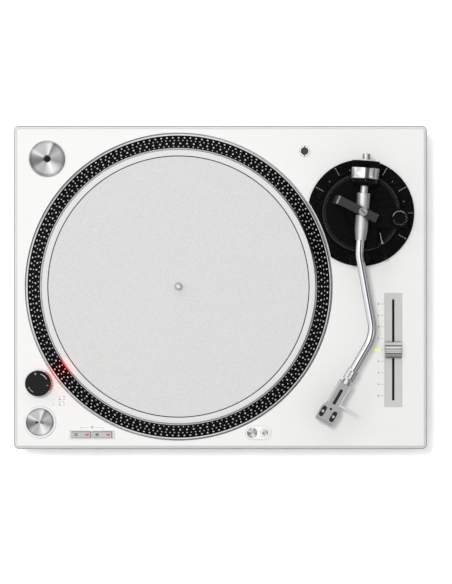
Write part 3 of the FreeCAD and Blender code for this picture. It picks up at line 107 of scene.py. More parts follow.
class Finish:
    """A material whose colour, roughness and fine surface come from noise in object space."""

    def __init__(self, name, color, roughness, metallic=0.0):
        self.material = bpy.data.materials.new(name)
        self.material.use_nodes = True
        self.tree = self.material.node_tree
        self.shader = self.tree.nodes["Principled BSDF"]
        self.coordinates = self.node("ShaderNodeTexCoord").outputs["Object"]
        self.color = color
        self.paint = None
        self.put("Metallic", metallic)
        self.mottle(0.03, 40)
        patches = (max(0.02, roughness * 0.94),) * 3, (min(1.0, roughness * 1.12),) * 3
        self.put("Roughness", self.between(self.noise(90), *patches))

    def feed(self, value, target):
        """Links a socket, or sets a plain value."""
        if isinstance(value, bpy.types.NodeSocket):
            self.tree.links.new(value, target)
        else:
            target.default_value = value

    def node(self, kind, **settings):
        made = self.tree.nodes.new(kind)
        for key, value in settings.items():
            if key in made.inputs:
                self.feed(value, made.inputs[key])
            else:
                setattr(made, key, value)
        return made

    def number(self, operation, *values):
        made = self.node("ShaderNodeMath", operation=operation)
        for value, target in zip(values, made.inputs):
            self.feed(value, target)
        return made.outputs[0]

    def vector(self, operation, *values):
        made = self.node("ShaderNodeVectorMath", operation=operation)
        for value, target in zip(values, made.inputs):
            self.feed(value, target)
        return made.outputs["Value" if operation in ("LENGTH", "DOT_PRODUCT") else "Vector"]

    def parts(self, vector):
        return self.node("ShaderNodeSeparateXYZ", Vector=vector).outputs

    def noise(self, scale, detail=4.0, stretch=(1, 1, 1)):
        mapping = self.node("ShaderNodeMapping", Vector=self.coordinates, Scale=stretch)
        texture = self.node("ShaderNodeTexNoise", Vector=mapping.outputs[0], Scale=scale, Detail=detail)
        return texture.outputs["Fac"]

    def ramp(self, source, stops):
        """A colour for each place from 0 to 1."""
        made = self.node("ShaderNodeValToRGB", Fac=source)
        elements = made.color_ramp.elements
        for element, (place, color) in ((elements[0], stops[0]), (elements[1], stops[-1])):
            element.position, element.color = place, (*color, 1)
        for place, color in stops[1:-1]:
            elements.new(place).color = (*color, 1)
        return made.outputs["Color"]

    def between(self, source, low, high):
        return self.ramp(source, ((NOISE_LOW, low), (NOISE_HIGH, high)))

    def put(self, socket, value):
        """Sets or links one of the shader's own sockets."""
        self.feed(value, self.shader.inputs[socket])
        return self

    def set_paint(self, output):
        self.paint = output
        return self.put("Base Color", output)

    def paint_over(self, factor, color):
        """A second colour where factor is 1."""
        return self.blend("MIX", factor, (*color, 1))

    def blend(self, kind, factor, color):
        made = self.node("ShaderNodeMix", data_type="RGBA", blend_type=kind)
        for index, value in ((0, factor), (6, self.paint), (7, color)):
            self.feed(value, made.inputs[index])
        return self.set_paint(made.outputs[2])

    def mottle(self, amount, scale):
        low = tuple(c * (1 - amount) for c in self.color)
        high = tuple(min(1.0, c * (1 + amount)) for c in self.color)
        return self.set_paint(self.between(self.noise(scale), low, high))

    def bump(self, source, strength, distance):
        made = self.node("ShaderNodeBump", Height=source, Strength=strength, Distance=distance)
        return self.put("Normal", made.outputs["Normal"])

    def grain(self, scale, strength, stretch=(1, 1, 1)):
        return self.bump(self.noise(scale, 6.0, stretch), strength, GRAIN_DEPTH)

    def specks(self, color, scale, size):
        """Small bright flecks scattered through the paint."""
        cells = self.node("ShaderNodeTexVoronoi", Vector=self.coordinates, Scale=scale)
        hues = self.node("ShaderNodeSeparateColor", Color=cells.outputs["Color"])
        fleck = self.number("LESS_THAN", cells.outputs["Distance"], size)
        rare = self.number("GREATER_THAN", hues.outputs["Red"], RARE_FLECK)
        return self.paint_over(self.number("MULTIPLY", fleck, rare), color)

    def from_line(self, x, y):
        """The place measured from an upright line, in metres."""
        return self.vector("SUBTRACT", self.coordinates, (x * MM, y * MM, 0))

    def radius_from(self, x, y):
        return self.vector("LENGTH", self.vector("MULTIPLY", self.from_line(x, y), (1, 1, 0)))

    def beyond(self, x, y, radius, color):
        """A second colour outside a circle."""
        return self.paint_over(self.number("GREATER_THAN", self.radius_from(x, y), radius * MM), color)

    def ring(self, x, y, radius, width, color):
        """A thin circle of a second colour."""
        away = self.number("ABSOLUTE", self.number("SUBTRACT", self.radius_from(x, y), radius * MM))
        return self.paint_over(self.number("LESS_THAN", away, width * MM / 2), color)

    def spun(self, x, y, spacing, strength):
        """Fine turning marks round an upright line."""
        wave = self.number("MULTIPLY", self.radius_from(x, y), 2 * math.pi / (spacing * MM))
        self.bump(self.number("SINE", wave), strength, TURNING_DEPTH)
        around = self.vector("CROSS_PRODUCT", self.from_line(x, y), (0, 0, 1))
        self.put("Tangent", self.vector("NORMALIZE", around))
        return self.put("Anisotropic", 0.9)

    def shade(self, source, levels):
        """Grey levels at places from 0 to 1, laid over the colour."""
        shades = self.ramp(source, [(place, (level,) * 3) for place, level in levels])
        return self.blend("MULTIPLY", 1.0, shades)

    def banded(self, way, levels):
        """Painted reflections: light and dark bands along a round bar, by the way its surface faces."""
        facing = self.node("ShaderNodeTexCoord").outputs["Normal"]
        lean = self.vector("DOT_PRODUCT", facing, way)
        return self.shade(self.number("MULTIPLY_ADD", lean, 0.5, 0.5), levels)

    def lengthwise(self, start, end, levels):
        """Painted light and shade: light and dark bands between two places along Y."""
        ends = {"From Min": start * MM, "From Max": end * MM}
        share = self.node("ShaderNodeMapRange", Value=self.parts(self.coordinates)["Y"], **ends)
        return self.shade(share.outputs["Result"], levels)

    def wedges(self, x, y, levels):
        """Painted highlights: light and dark wedges on a turned face, by the angle round an upright line."""
        parts = self.parts(self.from_line(x, y))
        angle = self.number("ARCTAN2", parts["Y"], parts["X"])
        return self.shade(self.number("MULTIPLY_ADD", angle, 0.5 / math.pi, 0.5), levels)

    def slope(self, way, levels):
        """Painted light and shade: a gradual change of level across the piece."""
        return self.shade(self.number("ADD", self.vector("DOT_PRODUCT", self.coordinates, way), 0.5), levels)

    def border(self, half_x, half_y, corner, levels):
        """Painted shade in lines that follow a rounded rectangle; 1 is its edge and 0 one corner radius inside.
        """
        inner = ((half_x - corner) * MM, (half_y - corner) * MM, 10)
        past = self.vector("SUBTRACT", self.vector("ABSOLUTE", self.coordinates), inner)
        length = self.vector("LENGTH", self.vector("MAXIMUM", past, (0, 0, 0)))
        return self.shade(self.number("DIVIDE", length, corner * MM), levels)

    def gloss_coat(self, weight):
        return self.put("Coat Weight", weight).put("Coat Roughness", 0.08)

    def sheen_level(self, level):
        return self.put("Specular IOR Level", level)

    def glow(self, color, strength):
        return self.put("Emission Color", (*color, 1)).put("Emission Strength", strength)


TURNED_HIGHLIGHT_LEVELS = (
    (0.0, 0.2), (0.06, 0.18), (0.12, 0.5), (0.2, 0.42), (0.26, 0.65), (0.31, 0.95), (0.38, 0.7), (0.46, 0.28),
    (0.52, 0.38), (0.58, 0.5), (0.64, 0.35), (0.675, 0.2), (0.71, 0.85), (0.78, 0.55), (0.88, 0.55),
    (0.92, 0.85), (0.96, 0.35), (1.0, 0.2),
)
CHROME_REFLECTION_LEVELS = (
    (0.0, 0.12), (0.07, 0.28), (0.13, 1.0), (0.45, 1.0), (0.49, 0.08), (0.6, 0.04), (0.64, 0.5), (0.72, 0.65),
    (0.78, 0.2), (0.85, 0.42), (0.92, 0.06), (1.0, 0.02),
)
SATIN_REFLECTION_LEVELS = ((0.0, 0.2), (0.15, 0.4), (0.3, 0.9), (0.44, 0.95), (0.62, 0.45), (0.85, 0.26), (1.0, 0.06))
BEVEL_SHADE_LEVELS = (
    (0.0, 1.0), (0.27, 1.0), (0.31, 0.55), (0.36, 0.55), (0.4, 0.95), (0.8, 0.9), (0.86, 0.3), (1.0, 0.16),
)
PANEL_SHADE_LEVELS = ((0.0, 1.0), (1.0, 0.9))
KNOB_SHADE_LEVELS = (
    (0.0, 0.22), (0.13, 0.35), (0.15, 0.55), (0.23, 0.55), (0.25, 0.1), (0.3, 0.1), (0.32, 0.5), (0.38, 0.62),
    (0.48, 0.6), (0.5, 0.38), (0.58, 0.42), (0.61, 0.85), (0.7, 0.85), (0.72, 0.1), (0.77, 0.12), (0.79, 1.0),
    (0.95, 1.0), (0.97, 0.2), (1.0, 0.2),
)
ARM_WAY = (0.997, -0.072, 0)
TUBE_WAY = (0.96, -0.28, 0)
SHELL_WAY = (0.866, -0.5, 0)
CHROME_COLOR = (0.93, 0.94, 0.98)


def finish(name, color, roughness, metallic=0.0, grain=None, level=None):
    """A plain finish. One number as its colour is a grey."""
    if isinstance(color, float):
        color = (color,) * 3
    made = Finish(name, color, roughness, metallic)
    if level is not None:
        made.sheen_level(level)
    if grain:
        made.grain(*grain)
    return made


def plain(*facts, **settings):
    return finish(*facts, **settings).material


# Painted highlights: turned metal with light and dark wedges laid into its colour, over real turning marks.
def spun_metal(name, middle):
    made = Finish(name, (1.0, 1.0, 1.0), 0.35, 0.55).wedges(middle.x, middle.y, TURNED_HIGHLIGHT_LEVELS)
    return made.spun(middle.x, middle.y, 0.35, 0.25).material


white_enamel = (
    Finish("white_enamel", (0.8, 0.8, 0.785), 0.3).mottle(0.008, 12)
    # Painted light and shade: the panel grows darker from the upper left towards the lower right.
    .slope((0.9, -0.7, 0), PANEL_SHADE_LEVELS)
    # Painted shade round the panel's edge: a fine line where the bevel begins, a slightly darker bevel and a
    # dark outer edge line.
    .border(225, 176, 5, BEVEL_SHADE_LEVELS).grain(700, 0.04).gloss_coat(0.4).material
)
white_moulding = plain("white_moulding", (0.8, 0.8, 0.79), 0.32, grain=(500, 0.06))
cover_black = plain("cover_black", (0.03, 0.03, 0.032), 0.6, grain=(900, 0.5))
sole_rubber = plain("sole_rubber", 0.02, 0.75, grain=(1500, 0.5))
zinc = plain("zinc", (0.55, 0.55, 0.54), 0.35, 1.0, grain=(1200, 0.15))
pressed_steel = plain("pressed_steel", 0.5, 0.4, 1.0, grain=(600, 0.2))
laminated_iron = plain("laminated_iron", (0.22, 0.22, 0.23), 0.55, 0.7, grain=(900, 0.3, (1, 1, 12)))
copper_wire = plain("copper_wire", (0.65, 0.3, 0.12), 0.35, 1.0, grain=(1500, 0.7, (1, 1, 6)))
board_green = finish("board_green", (0.03, 0.16, 0.06), 0.4).mottle(0.3, 300).material
gilt = plain("gilt", (0.72, 0.5, 0.2), 0.25, 1.0, grain=(900, 0.1))
ferrite = plain("ferrite", (0.08, 0.08, 0.085), 0.6, 0.2, grain=(1200, 0.4))
matte_black = plain("matte_black", (0.004, 0.004, 0.0042), 0.45, grain=(1600, 0.25), level=0.03)
knob_black = plain("knob_black", 0.013, 0.5, grain=(1600, 0.3), level=0.1)
arm_black = (
    finish("arm_black", (0.0022, 0.0022, 0.0024), 0.45, grain=(2200, 0.3), level=0.03)
    .specks((0.09, 0.09, 0.09), 1500, 0.2).material
)
satin_black = plain("satin_black", (0.003, 0.003, 0.0033), 0.36, grain=(1800, 0.2), level=0.04)
bridge_grey = plain("bridge_grey", (0.033, 0.033, 0.034), 0.4, grain=(1600, 0.25), level=0.15)
bend_grey = plain("bend_grey", 0.35, 0.35, 0.6, grain=(1600, 0.2))
cast_metal = finish("cast_metal", 0.78, 0.3, 1.0).spun(spindle.x, spindle.y, 0.5, 0.12).material
band_black = plain("band_black", (0.003, 0.003, 0.0035), 0.4, grain=(900, 0.08), level=0.08)
dot_metal = plain("dot_metal", (0.66, 0.66, 0.68), 0.4, 0.2)
polished_steel = plain("polished_steel", 0.78, 0.12, 1.0, grain=(900, 0.05))
# Painted reflections: the chrome, satin and collar finishes take light and dark bands from the way each surface
# faces.
chrome = Finish("chrome", CHROME_COLOR, 0.2, 0.35).banded(TUBE_WAY, CHROME_REFLECTION_LEVELS).grain(300, 0.015).material
weight_chrome = (
    Finish("weight_chrome", CHROME_COLOR, 0.2, 0.35).banded(ARM_WAY, CHROME_REFLECTION_LEVELS).grain(300, 0.015).material
)
satin_silver = (
    Finish("satin_silver", (0.85, 0.85, 0.86), 0.3, 0.5).banded(ARM_WAY, SATIN_REFLECTION_LEVELS)
    .grain(1400, 0.12, (1, 8, 1)).material
)
collar_silver = (
    Finish("collar_silver", (0.9, 0.9, 0.92), 0.25, 0.35)
    .banded(SHELL_WAY, CHROME_REFLECTION_LEVELS).grain(1400, 0.1).material
)
finger_silver = plain("finger_silver", 0.72, 0.35, 0.5, grain=(1400, 0.1))
shell_grey = plain("shell_grey", 0.42, 0.42, 0.85, grain=(1800, 0.25))
fader_plate = plain("fader_plate_finish", (0.52, 0.52, 0.495), 0.5, grain=(1800, 0.2))
cup_grey = plain("cup_grey", 0.07, 0.6, grain=(900, 0.2))
slot_dark = plain("slot_dark", 0.01, 0.7)
button_cream = finish("button_cream", 0.46, 0.35, grain=(900, 0.08)).gloss_coat(0.3).material
bezel_grey = plain("bezel_grey", (0.66, 0.66, 0.65), 0.35, grain=(900, 0.1))
tick_grey = plain("tick_grey", 0.1, 0.6)
print_dark = plain("print_dark", 0.03, 0.6)
print_grey = plain("print_grey", 0.2, 0.6)
print_light = plain("print_light", (0.72, 0.72, 0.7), 0.6)
print_faint = plain("print_faint", (0.42, 0.42, 0.4), 0.6)
red_glow = finish("red_glow", (0.5, 0.04, 0.04), 0.3).glow((1.0, 0.05, 0.05), 0.16).material
bar_glow = finish("bar_glow", (0.6, 0.0, 0.08), 0.4).glow((1.0, 0.0, 0.14), 0.2).material
green_glow = finish("green_glow", (0.5, 0.8, 0.05), 0.3).glow((0.5, 0.9, 0.05), 0.6).material
lens_clear = plain("lens_clear", (0.9, 0.88, 0.8), 0.1)


def felt_finish():
    felt = Finish("mat_felt", (0.7, 0.7, 0.69), 0.95)
    threads = felt.noise(1300, 6.0, (0.35, 1.6, 1))
    felt.set_paint(felt.between(threads, (0.55, 0.55, 0.55), (0.68, 0.68, 0.67)))
    felt.beyond(spindle.x, spindle.y, 141.5, (0.67, 0.67, 0.67))
    # A thin dark circle at radius 141.5.
    felt.ring(spindle.x, spindle.y, 141.5, 1.1, (0.03, 0.03, 0.03))
    return felt.grain(2600, 0.6).put("Sheen Weight", 0.25).put("Sheen Roughness", 0.5).material


mat_felt = felt_finish()

# ---------------------------------------------------------------- mesh tools


def finish_piece(name, mesh, body, replaced, angle=32):
    """Makes a mesh in millimetres into a piece in metres that rides on a body."""
    mesh.transform(Matrix.Scale(MM, 4))
    work = bmesh.new()
    work.from_mesh(mesh)
    bmesh.ops.recalc_face_normals(work, faces=work.faces)
    work.to_mesh(mesh)
    work.free()
    mesh.shade_smooth()
    mesh.set_sharp_from_angle(angle=math.radians(angle))
    piece = bpy.data.objects.new(name, mesh)
    bpy.context.scene.collection.objects.link(piece)
    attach(piece, body)
    if replaced:
        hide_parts(*replaced)
    return piece


class Builder:
    """Collects shapes into one mesh. Each has its own material, and its own place if the mesh has none."""

    def __init__(self, place=None):
        self.place = place or Matrix.Identity(4)
        self.points = []
        self.faces = []
        self.marks = []
        self.materials = []

    def index(self, material):
        if material not in self.materials:
            self.materials.append(material)
        return self.materials.index(material)

    def add(self, points, faces, material, matrix=None):
        base = len(self.points)
        matrix = matrix or self.place
        self.points.extend(matrix @ Vector(point) for point in points)
        self.faces.extend([base + corner for corner in face] for face in faces)
        self.marks.extend([self.index(material)] * len(faces))
        return self

    def revolve(self, profile, material, matrix=None, segments=96, ripple=None):
        """Turns (radius, height[, material]) points about Z. Ripple maps (angle, r, z) to a radius."""
        points = []
        rings = []
        for radius, height, *_ in profile:
            if radius <= 0:
                rings.append([len(points)])
                points.append((0, 0, height))
                continue
            rings.append(list(range(len(points), len(points) + segments)))
            for index in range(segments):
                angle = 2 * math.pi * index / segments
                reach = ripple(angle, radius, height) if ripple else radius
                points.append((reach * math.cos(angle), reach * math.sin(angle), height))
        for number, (low, high) in enumerate(zip(rings, rings[1:])):
            faces = []
            for index in range(segments):
                after = (index + 1) % segments
                if len(low) == 1:
                    faces.append([low[0], high[index], high[after]])
                elif len(high) == 1:
                    faces.append([low[index], low[after], high[0]])
                else:
                    faces.append([low[index], low[after], high[after], high[index]])
            step = profile[number + 1]
            self.add([], faces, step[2] if len(step) > 2 else material)
        return self.add(points, [], material, matrix)

    def sweep(self, path, radius, material, matrix=None, segments=32, caps=True):
        """A round tube along points. Radius is a number or a function of the share along the path."""
        points = []
        faces = []
        side = Vector((0, 0, 1))
        for index, place in enumerate(path):
            before = path[max(index - 1, 0)]
            after = path[min(index + 1, len(path) - 1)]
            way = (after - before).normalized()
            across = way.cross(side).normalized()
            up = across.cross(way)
            share = index / (len(path) - 1)
            reach = radius(share) if callable(radius) else radius
            for step in range(segments):
                angle = 2 * math.pi * step / segments
                points.append(place + reach * (math.cos(angle) * across + math.sin(angle) * up))
        for index in range(len(path) - 1):
            low = index * segments
            for step in range(segments):
                after = (step + 1) % segments
                faces.append([low + step, low + after, low + segments + after, low + segments + step])
        if caps:
            faces.append(list(range(segments)))
            last = (len(path) - 1) * segments
            faces.append(list(range(last, last + segments)))
        return self.add(points, faces, material, matrix)

    def solid(self, outline, low, high, material, matrix=None, bevel=0.0, steps=2):
        """An upright prism over an outline, with every edge rounded by bevel."""
        work = bmesh.new()
        bottom = [work.verts.new((x, y, low)) for x, y in outline]
        top = [work.verts.new((x, y, high)) for x, y in outline]
        work.faces.new(bottom)
        work.faces.new(top)
        for index in range(len(outline)):
            after = (index + 1) % len(outline)
            work.faces.new((bottom[index], bottom[after], top[after], top[index]))
        bmesh.ops.recalc_face_normals(work, faces=work.faces)
        if bevel:
            sharp = [edge for edge in work.edges if edge.calc_face_angle(0) > math.radians(25)]
            bmesh.ops.bevel(work, geom=sharp, offset=bevel, segments=steps, profile=0.5, affect="EDGES",
                            clamp_overlap=True)
        work.verts.index_update()
        points = [vert.co.copy() for vert in work.verts]
        faces = [[vert.index for vert in face.verts] for face in work.faces]
        work.free()
        return self.add(points, faces, material, matrix)

    def box(self, left, right, front, back, low, high, material, matrix=None, bevel=0.0, steps=2):
        outline = [(left, front), (right, front), (right, back), (left, back)]
        return self.solid(outline, low, high, material, matrix, bevel, steps)

    def words(self, text, size, x, y, z, material, turn=0.0, thick=0.06, matrix=None, bold=0.0):
        """Raised lettering, flat side up, centred on a point."""
        curve = bpy.data.curves.new("lettering", "FONT")
        curve.body = text
        curve.size = size
        curve.extrude = thick / 2
        curve.offset = bold
        curve.align_x = "CENTER"
        curve.align_y = "CENTER"
        curve.resolution_u = 3
        holder = bpy.data.objects.new("lettering", curve)
        bpy.context.scene.collection.objects.link(holder)
        bpy.context.view_layer.update()
        mesh = bpy.data.meshes.new_from_object(holder)
        place = upright_at(x, y, z, turn)
        points = [place @ vert.co for vert in mesh.vertices]
        faces = [list(face.vertices) for face in mesh.polygons]
        bpy.data.objects.remove(holder)
        bpy.data.meshes.remove(mesh)
        bpy.data.curves.remove(curve)
        return self.add(points, faces, material, matrix)

    def arc(self, radius, width, start, end, low, high, material, matrix=None):
        """A flat curved bar between two angles, in degrees."""
        steps = max(2, int(abs(end - start) / 3))
        turns = [math.radians(start + (end - start) * index / steps) for index in range(steps + 1)]
        outer, inner = (
            [(reach * math.cos(turn), reach * math.sin(turn)) for turn in turns]
            for reach in (radius + width / 2, radius - width / 2)
        )
        return self.solid(outer + inner[::-1], low, high, material, matrix)

    def words_round(self, text, size, radius, turn, z, material, matrix):
        """Lettering on a circle about Z, its head outwards."""
        x, y = radius * math.cos(math.radians(turn)), radius * math.sin(math.radians(turn))
        return self.words(text, size, x, y, z, material, turn - 90, matrix=matrix)

    def build(self, name, body, slot, replaced=(), angle=32):
        mesh = bpy.data.meshes.new(name)
        mesh.from_pydata(self.points, [], self.faces)
        for material in self.materials:
            mesh.materials.append(material)
        for polygon, mark in zip(mesh.polygons, self.marks):
            polygon.material_index = mark
        return finish_piece(name, mesh, body, replaced, angle)


def soft_corners(profile, size, steps=3):
    """Rounds the inner corners of an open (radius, height[, material]) profile."""
    rounded = [profile[0]]
    for before, here, after in zip(profile, profile[1:], profile[2:]):
        corner = Vector(here[:2])
        back = Vector(before[:2]) - corner
        ahead = Vector(after[:2]) - corner
        reach = min(size, back.length * 0.45, ahead.length * 0.45)
        start = corner + back.normalized() * reach
        end = corner + ahead.normalized() * reach
        skin = here[2:] if len(here) > 2 else ()
        next_skin = after[2:] if len(after) > 2 else ()
        for index in range(steps + 1):
            share = index / steps
            place = start.lerp(corner, share).lerp(corner.lerp(end, share), share)
            rounded.append((place.x, place.y, *(skin if share < 0.5 else next_skin)))
    rounded.append(profile[-1])
    return rounded


def rim(radius, top, *steps):
    """Profile points, each given by how far inside a radius and below a top it lies."""
    return [(radius - inwards, top - down) for inwards, down in steps]


def circle_points(radius, count):
    turns = (2 * math.pi * index / count for index in range(count))
    return [(radius * math.cos(turn), radius * math.sin(turn)) for turn in turns]


def knurled(count, depth, low, high, inner=0.0):
    """A ripple that cuts fine grooves round the edge between two heights, outside an inner radius."""
    def reach(angle, radius, height):
        if radius < inner or not low <= height <= high:
            return radius
        return radius - depth * (0.5 + 0.5 * math.cos(angle * count))
    return reach


# ---------------------------------------------------------------- casing


def paint(material, *names):
    """Gives carried-over CAD nodes their material."""
    for name in names:
        mesh = frame["nodes"][name].data
        mesh.materials.clear()
        mesh.materials.append(material)


def make_casing():
    paint(white_enamel, "top_panel")
    paint(white_moulding, "cabinet")
    paint(cover_black, "bottom_cover")
    paint(zinc, "bottom_screws")
    paint(pressed_steel, "motor_base")
    paint(laminated_iron, "stator_core", "power_transformer")
    paint(copper_wire, "stator_coils")
    paint(board_green, "main_board")
    paint(gilt, "output_jacks", "counterweight_insert")
    paint(ferrite, "rotor_magnet")
    paint(matte_black, "power_inlet", "tempo_slider_unit", "arm_rest", "arm_platform")
    paint(matte_black, "arm_rest_clamp", "stylus")
    paint(arm_black, "arm_base_plate")


TOOTH_COUNT = 150


def make_feet():
    for name in ("foot_front_left", "foot_front_right", "foot_rear_left", "foot_rear_right"):
        low, high, middle = extent(name)
        radius = (high.x - low.x) / 2
        top = low_of("bottom_cover").z - 0.5
        profile = [(0, 0), (radius - 2.5, 0), (radius - 0.6, 1.2), (radius, 2.4)]
        for ridge in range(3):
            level = 2.4 + ridge * 1.5
            profile += [(radius, level + 0.9), (radius - 0.6, level + 1.1), (radius - 0.6, level + 1.4),
                (radius, level + 1.5)]
        profile += [(radius - 1, 8), (23, top - 2), (21, top), (4, top), (4, high.z), (0, high.z)]
        foot = Builder().revolve(soft_corners(profile, 0.6, 2), sole_rubber, upright_at(middle.x, middle.y))
        foot.build(f"{name}_rubber", f"{name}_body", "foot_rubber", [name])


# ---------------------------------------------------------------- platter


BAND_OUTER = 164.3
BAND_INNER = 150.3
BAND_LOW = -11.8
BAND_HIGH = -2.2
TOP_RADIUS = 147.5


def band_level(radius):
    share = (radius - BAND_INNER) / (BAND_OUTER - BAND_INNER)
    return BAND_HIGH + share * (BAND_LOW - BAND_HIGH)


def make_platter():
    low = low_of("platter").z - platter_top
    rim = high_of("platter").x - spindle.x
    profile = [
        (8, -13), (18, -13), (18, -5), (146, -5), (160.4, -15.9), (161.5, low), (rim, low),
        (rim, BAND_LOW - 0.7), (rim - 0.8, BAND_LOW + 0.1), (BAND_OUTER + 0.2, BAND_LOW + 0.1),
        (BAND_OUTER, BAND_LOW - 0.1), (BAND_INNER, BAND_HIGH - 0.1, band_black),
        (BAND_INNER - 0.2, BAND_HIGH + 0.15), (TOP_RADIUS, -0.02), (TOP_RADIUS - 1.5, 0), (8, 0),
    ]
    place = AT_PLATTER @ Matrix.Translation((0, 0, platter_top))
    Builder().revolve(profile, cast_metal, place, 240).build(
        "platter_casting", "platter_assembly", "platter_cast", ["platter"], 20)
    dots = Builder()
    slope = math.atan2(BAND_HIGH - BAND_LOW, BAND_OUTER - BAND_INNER)
    for radius, count, size in ((152.2, 180, 0.72), (155.5, 133, 1.05), (158.8, 216, 0.72), (162.0, 160, 1.0)):
        rim_points = circle_points(size, 12)
        for index in range(count):
            turn = Matrix.Rotation(2 * math.pi * index / count, 4, "Z")
            seat = Matrix.Translation((radius, 0, band_level(radius) - 0.1))
            lean = Matrix.Rotation(slope, 4, "Y")
            points = [(x, y, -0.05) for x, y in rim_points]
            points += [(x * 0.85, y * 0.85, 0.12) for x, y in rim_points]
            points.append((0, 0, 0.2))
            faces = [list(range(12))]
            for side in range(12):
                after = (side + 1) % 12
                faces.append([side, after, 12 + after, 12 + side])
                faces.append([12 + side, 12 + after, 24])
            dots.add(points, faces, dot_metal, place @ turn @ seat @ lean)
    dots.build("strobe_dots", "platter_assembly", "platter_cast")


def make_spindle():
    low, high = (corner.z for corner in extent("spindle")[:2])
    hub = platter_top
    profile = [
        (0, low), (5, low), (5, hub - 13), (8, hub - 13), (8, hub), (5.2, hub + 0.05), (3.6, hub + 0.1),
        (3.6, high - 3.2), (3.2, high - 1.6), (2.2, high - 0.4), (0, high),
    ]
    Builder().revolve(soft_corners(profile, 0.4, 2), polished_steel, AT_PLATTER, 64).build(
        "spindle_pin", "platter_assembly", "steel_polished", ["spindle"])


def make_slipmat():
    low, high = (corner.z for corner in extent("slipmat")[:2])
    radius = high_of("slipmat").x - spindle.x
    rings = [4.0, 4.3] + [4.3 + (radius - 5) * index / 40 for index in range(1, 41)] + [radius]
    segments = 180
    points = []
    for level, side in ((low, -1), (high, 1)):
        for reach in rings:
            for index in range(segments):
                angle = 2 * math.pi * index / segments
                x, y = reach * math.cos(angle), reach * math.sin(angle)
                wave = noise.noise(Vector((x / 35, y / 35, 3.1))) * 0.06 if side > 0 else 0
                fray = 0.12 * noise.noise(Vector((x / 1.7, y / 1.7, 9.0))) if reach == radius else 0
                edge = -0.35 if side > 0 and reach in (radius, 4.0) else 0
                grow = 1 + fray / reach
                points.append((x * grow, y * grow, level + wave * (0 if edge else 1) + edge))
    faces = []
    count = len(rings)
    for layer in (0, 1):
        for ring in range(count - 1):
            for index in range(segments):
                after = (index + 1) % segments
                base = (layer * count + ring) * segments
                faces.append([base + index, base + after, base + segments + after, base + segments + index])
    for ring in (0, count - 1):
        for index in range(segments):
            after = (index + 1) % segments
            bottom, top = ring * segments, (count + ring) * segments
            faces.append([bottom + index, bottom + after, top + after, top + index])
    mat = Builder().add(points, faces, mat_felt, AT_PLATTER).build(
        "slipmat_felt", "slipmat_body", "mat_felt", ["slipmat"])


# ---------------------------------------------------------------- left side


def make_adapter():
    low, high, middle = extent("ep_adapter")
    radius = (high.x - low.x) / 2
    metal = spun_metal("adapter_metal", middle)
    profile = [
        (3.65, low.z), (radius - 0.4, low.z), (radius, low.z + 0.4),
        *rim(radius, high.z, (0, 1.6), (0.5, 1.1), (2.7, 0.1), (3.2, 0)), (4.4, high.z), (4.0, high.z - 0.3),
        (3.65, high.z - 0.9), (3.65, low.z),
    ]
    Builder().revolve(soft_corners(profile, 0.25, 2), metal, upright_at(middle.x, middle.y), 128).build(
        "adapter_disc", "ep_adapter_body", "satin_metal", ["ep_adapter"])
    pad = [(0, low.z + 0.02), (3.4, low.z + 0.02), (3.3, low.z + 0.3), (0, low.z + 0.3)]
    Builder().revolve(pad, slot_dark, upright_at(middle.x, middle.y), 48).build(
        "adapter_recess_pad", "chassis", "black_plastic")


def make_tower_and_knob():
    low, high, middle = extent("power_knob")
    radius = (high.x - low.x) / 2
    top = high.z
    skirt = top - 8
    profile = [
        (0, low.z), (3, low.z), (3, skirt), (radius - 0.5, skirt), (radius, skirt + 0.5),
        *rim(radius, top, (0, 1.6), (0.5, 0.6), (1.4, 0.1), (2, 0), (2.6, 0.15)), (0, top - 0.15),
    ]
    place = upright_at(middle.x, middle.y)
    knob = Builder().revolve(profile, knob_black, place, 240, knurled(72, 0.35, skirt + 0.4, top - 1))
    knob.arc(radius - 3.6, 0.45, 24, 74, top - 0.2, top - 0.06, print_light, place)
    for turn, label in ((104, "0"), (-12, "1")):
        knob.words_round(label, 3.2, radius - 3.6, turn, top - 0.1, print_light, place)
    knob.arc(radius - 3.6, 0.3, 200, 242, top - 0.2, top - 0.06, print_light, place)
    knob.build("power_knob_cap", "power_knob_body", "black_plastic", ["power_knob"])
    roof = high_of("strobe_tower").z
    edge = Builder().arc(14.75, 0.8, -34, 58, roof - 0.3, roof + 0.12, red_glow, place)
    edge.build("strobe_window_edge", "chassis", "red_window")
    paint(white_moulding, "strobe_tower")
    paint(red_glow, "strobe_window")


def make_start_button():
    low, high, middle = extent("start_stop_button")
    radius = (high.x - low.x) / 2
    metal = spun_metal("start_metal", middle)
    place = upright_at(middle.x, middle.y)
    profile = [
        (0, low.z), (4, low.z), (4, high.z - 8),
        *rim(radius, high.z, (0, 8), (0, 1.3), (0.8, 0.4), (1.1, 0.25), (1.4, 0)), (0, high.z - 0.2),
    ]
    cap = Builder().revolve(profile, metal, place, 128)
    cap.solid([(-4.2, -1.9), (-0.9, 0), (-4.2, 1.9)], high.z - 0.3, high.z + 0.02, slot_dark, place)
    for x in (1.2, 3.4):
        cap.box(x - 0.45, x + 0.45, -1.9, 1.9, high.z - 0.3, high.z + 0.02, slot_dark, place)
    cap.build("start_stop_cap", "start_stop_body", "satin_metal", ["start_stop_button"])
    low, high, _ = extent("start_stop_bezel")
    outer = (high.x - low.x) / 2
    inner = radius + 0.2
    ring = [
        (inner, low.z), (outer - 1.1, low.z), (outer - 1.1, panel), (outer, panel),
        *rim(outer, high.z, (0, 1.2), (0.9, 0.2), (1.6, 0)), (inner + 0.5, high.z), (inner, high.z - 0.4),
        (inner, low.z),
    ]
    Builder().revolve(ring, white_moulding, place, 128).build(
        "start_stop_ring", "chassis", "white_plastic", ["start_stop_bezel"])


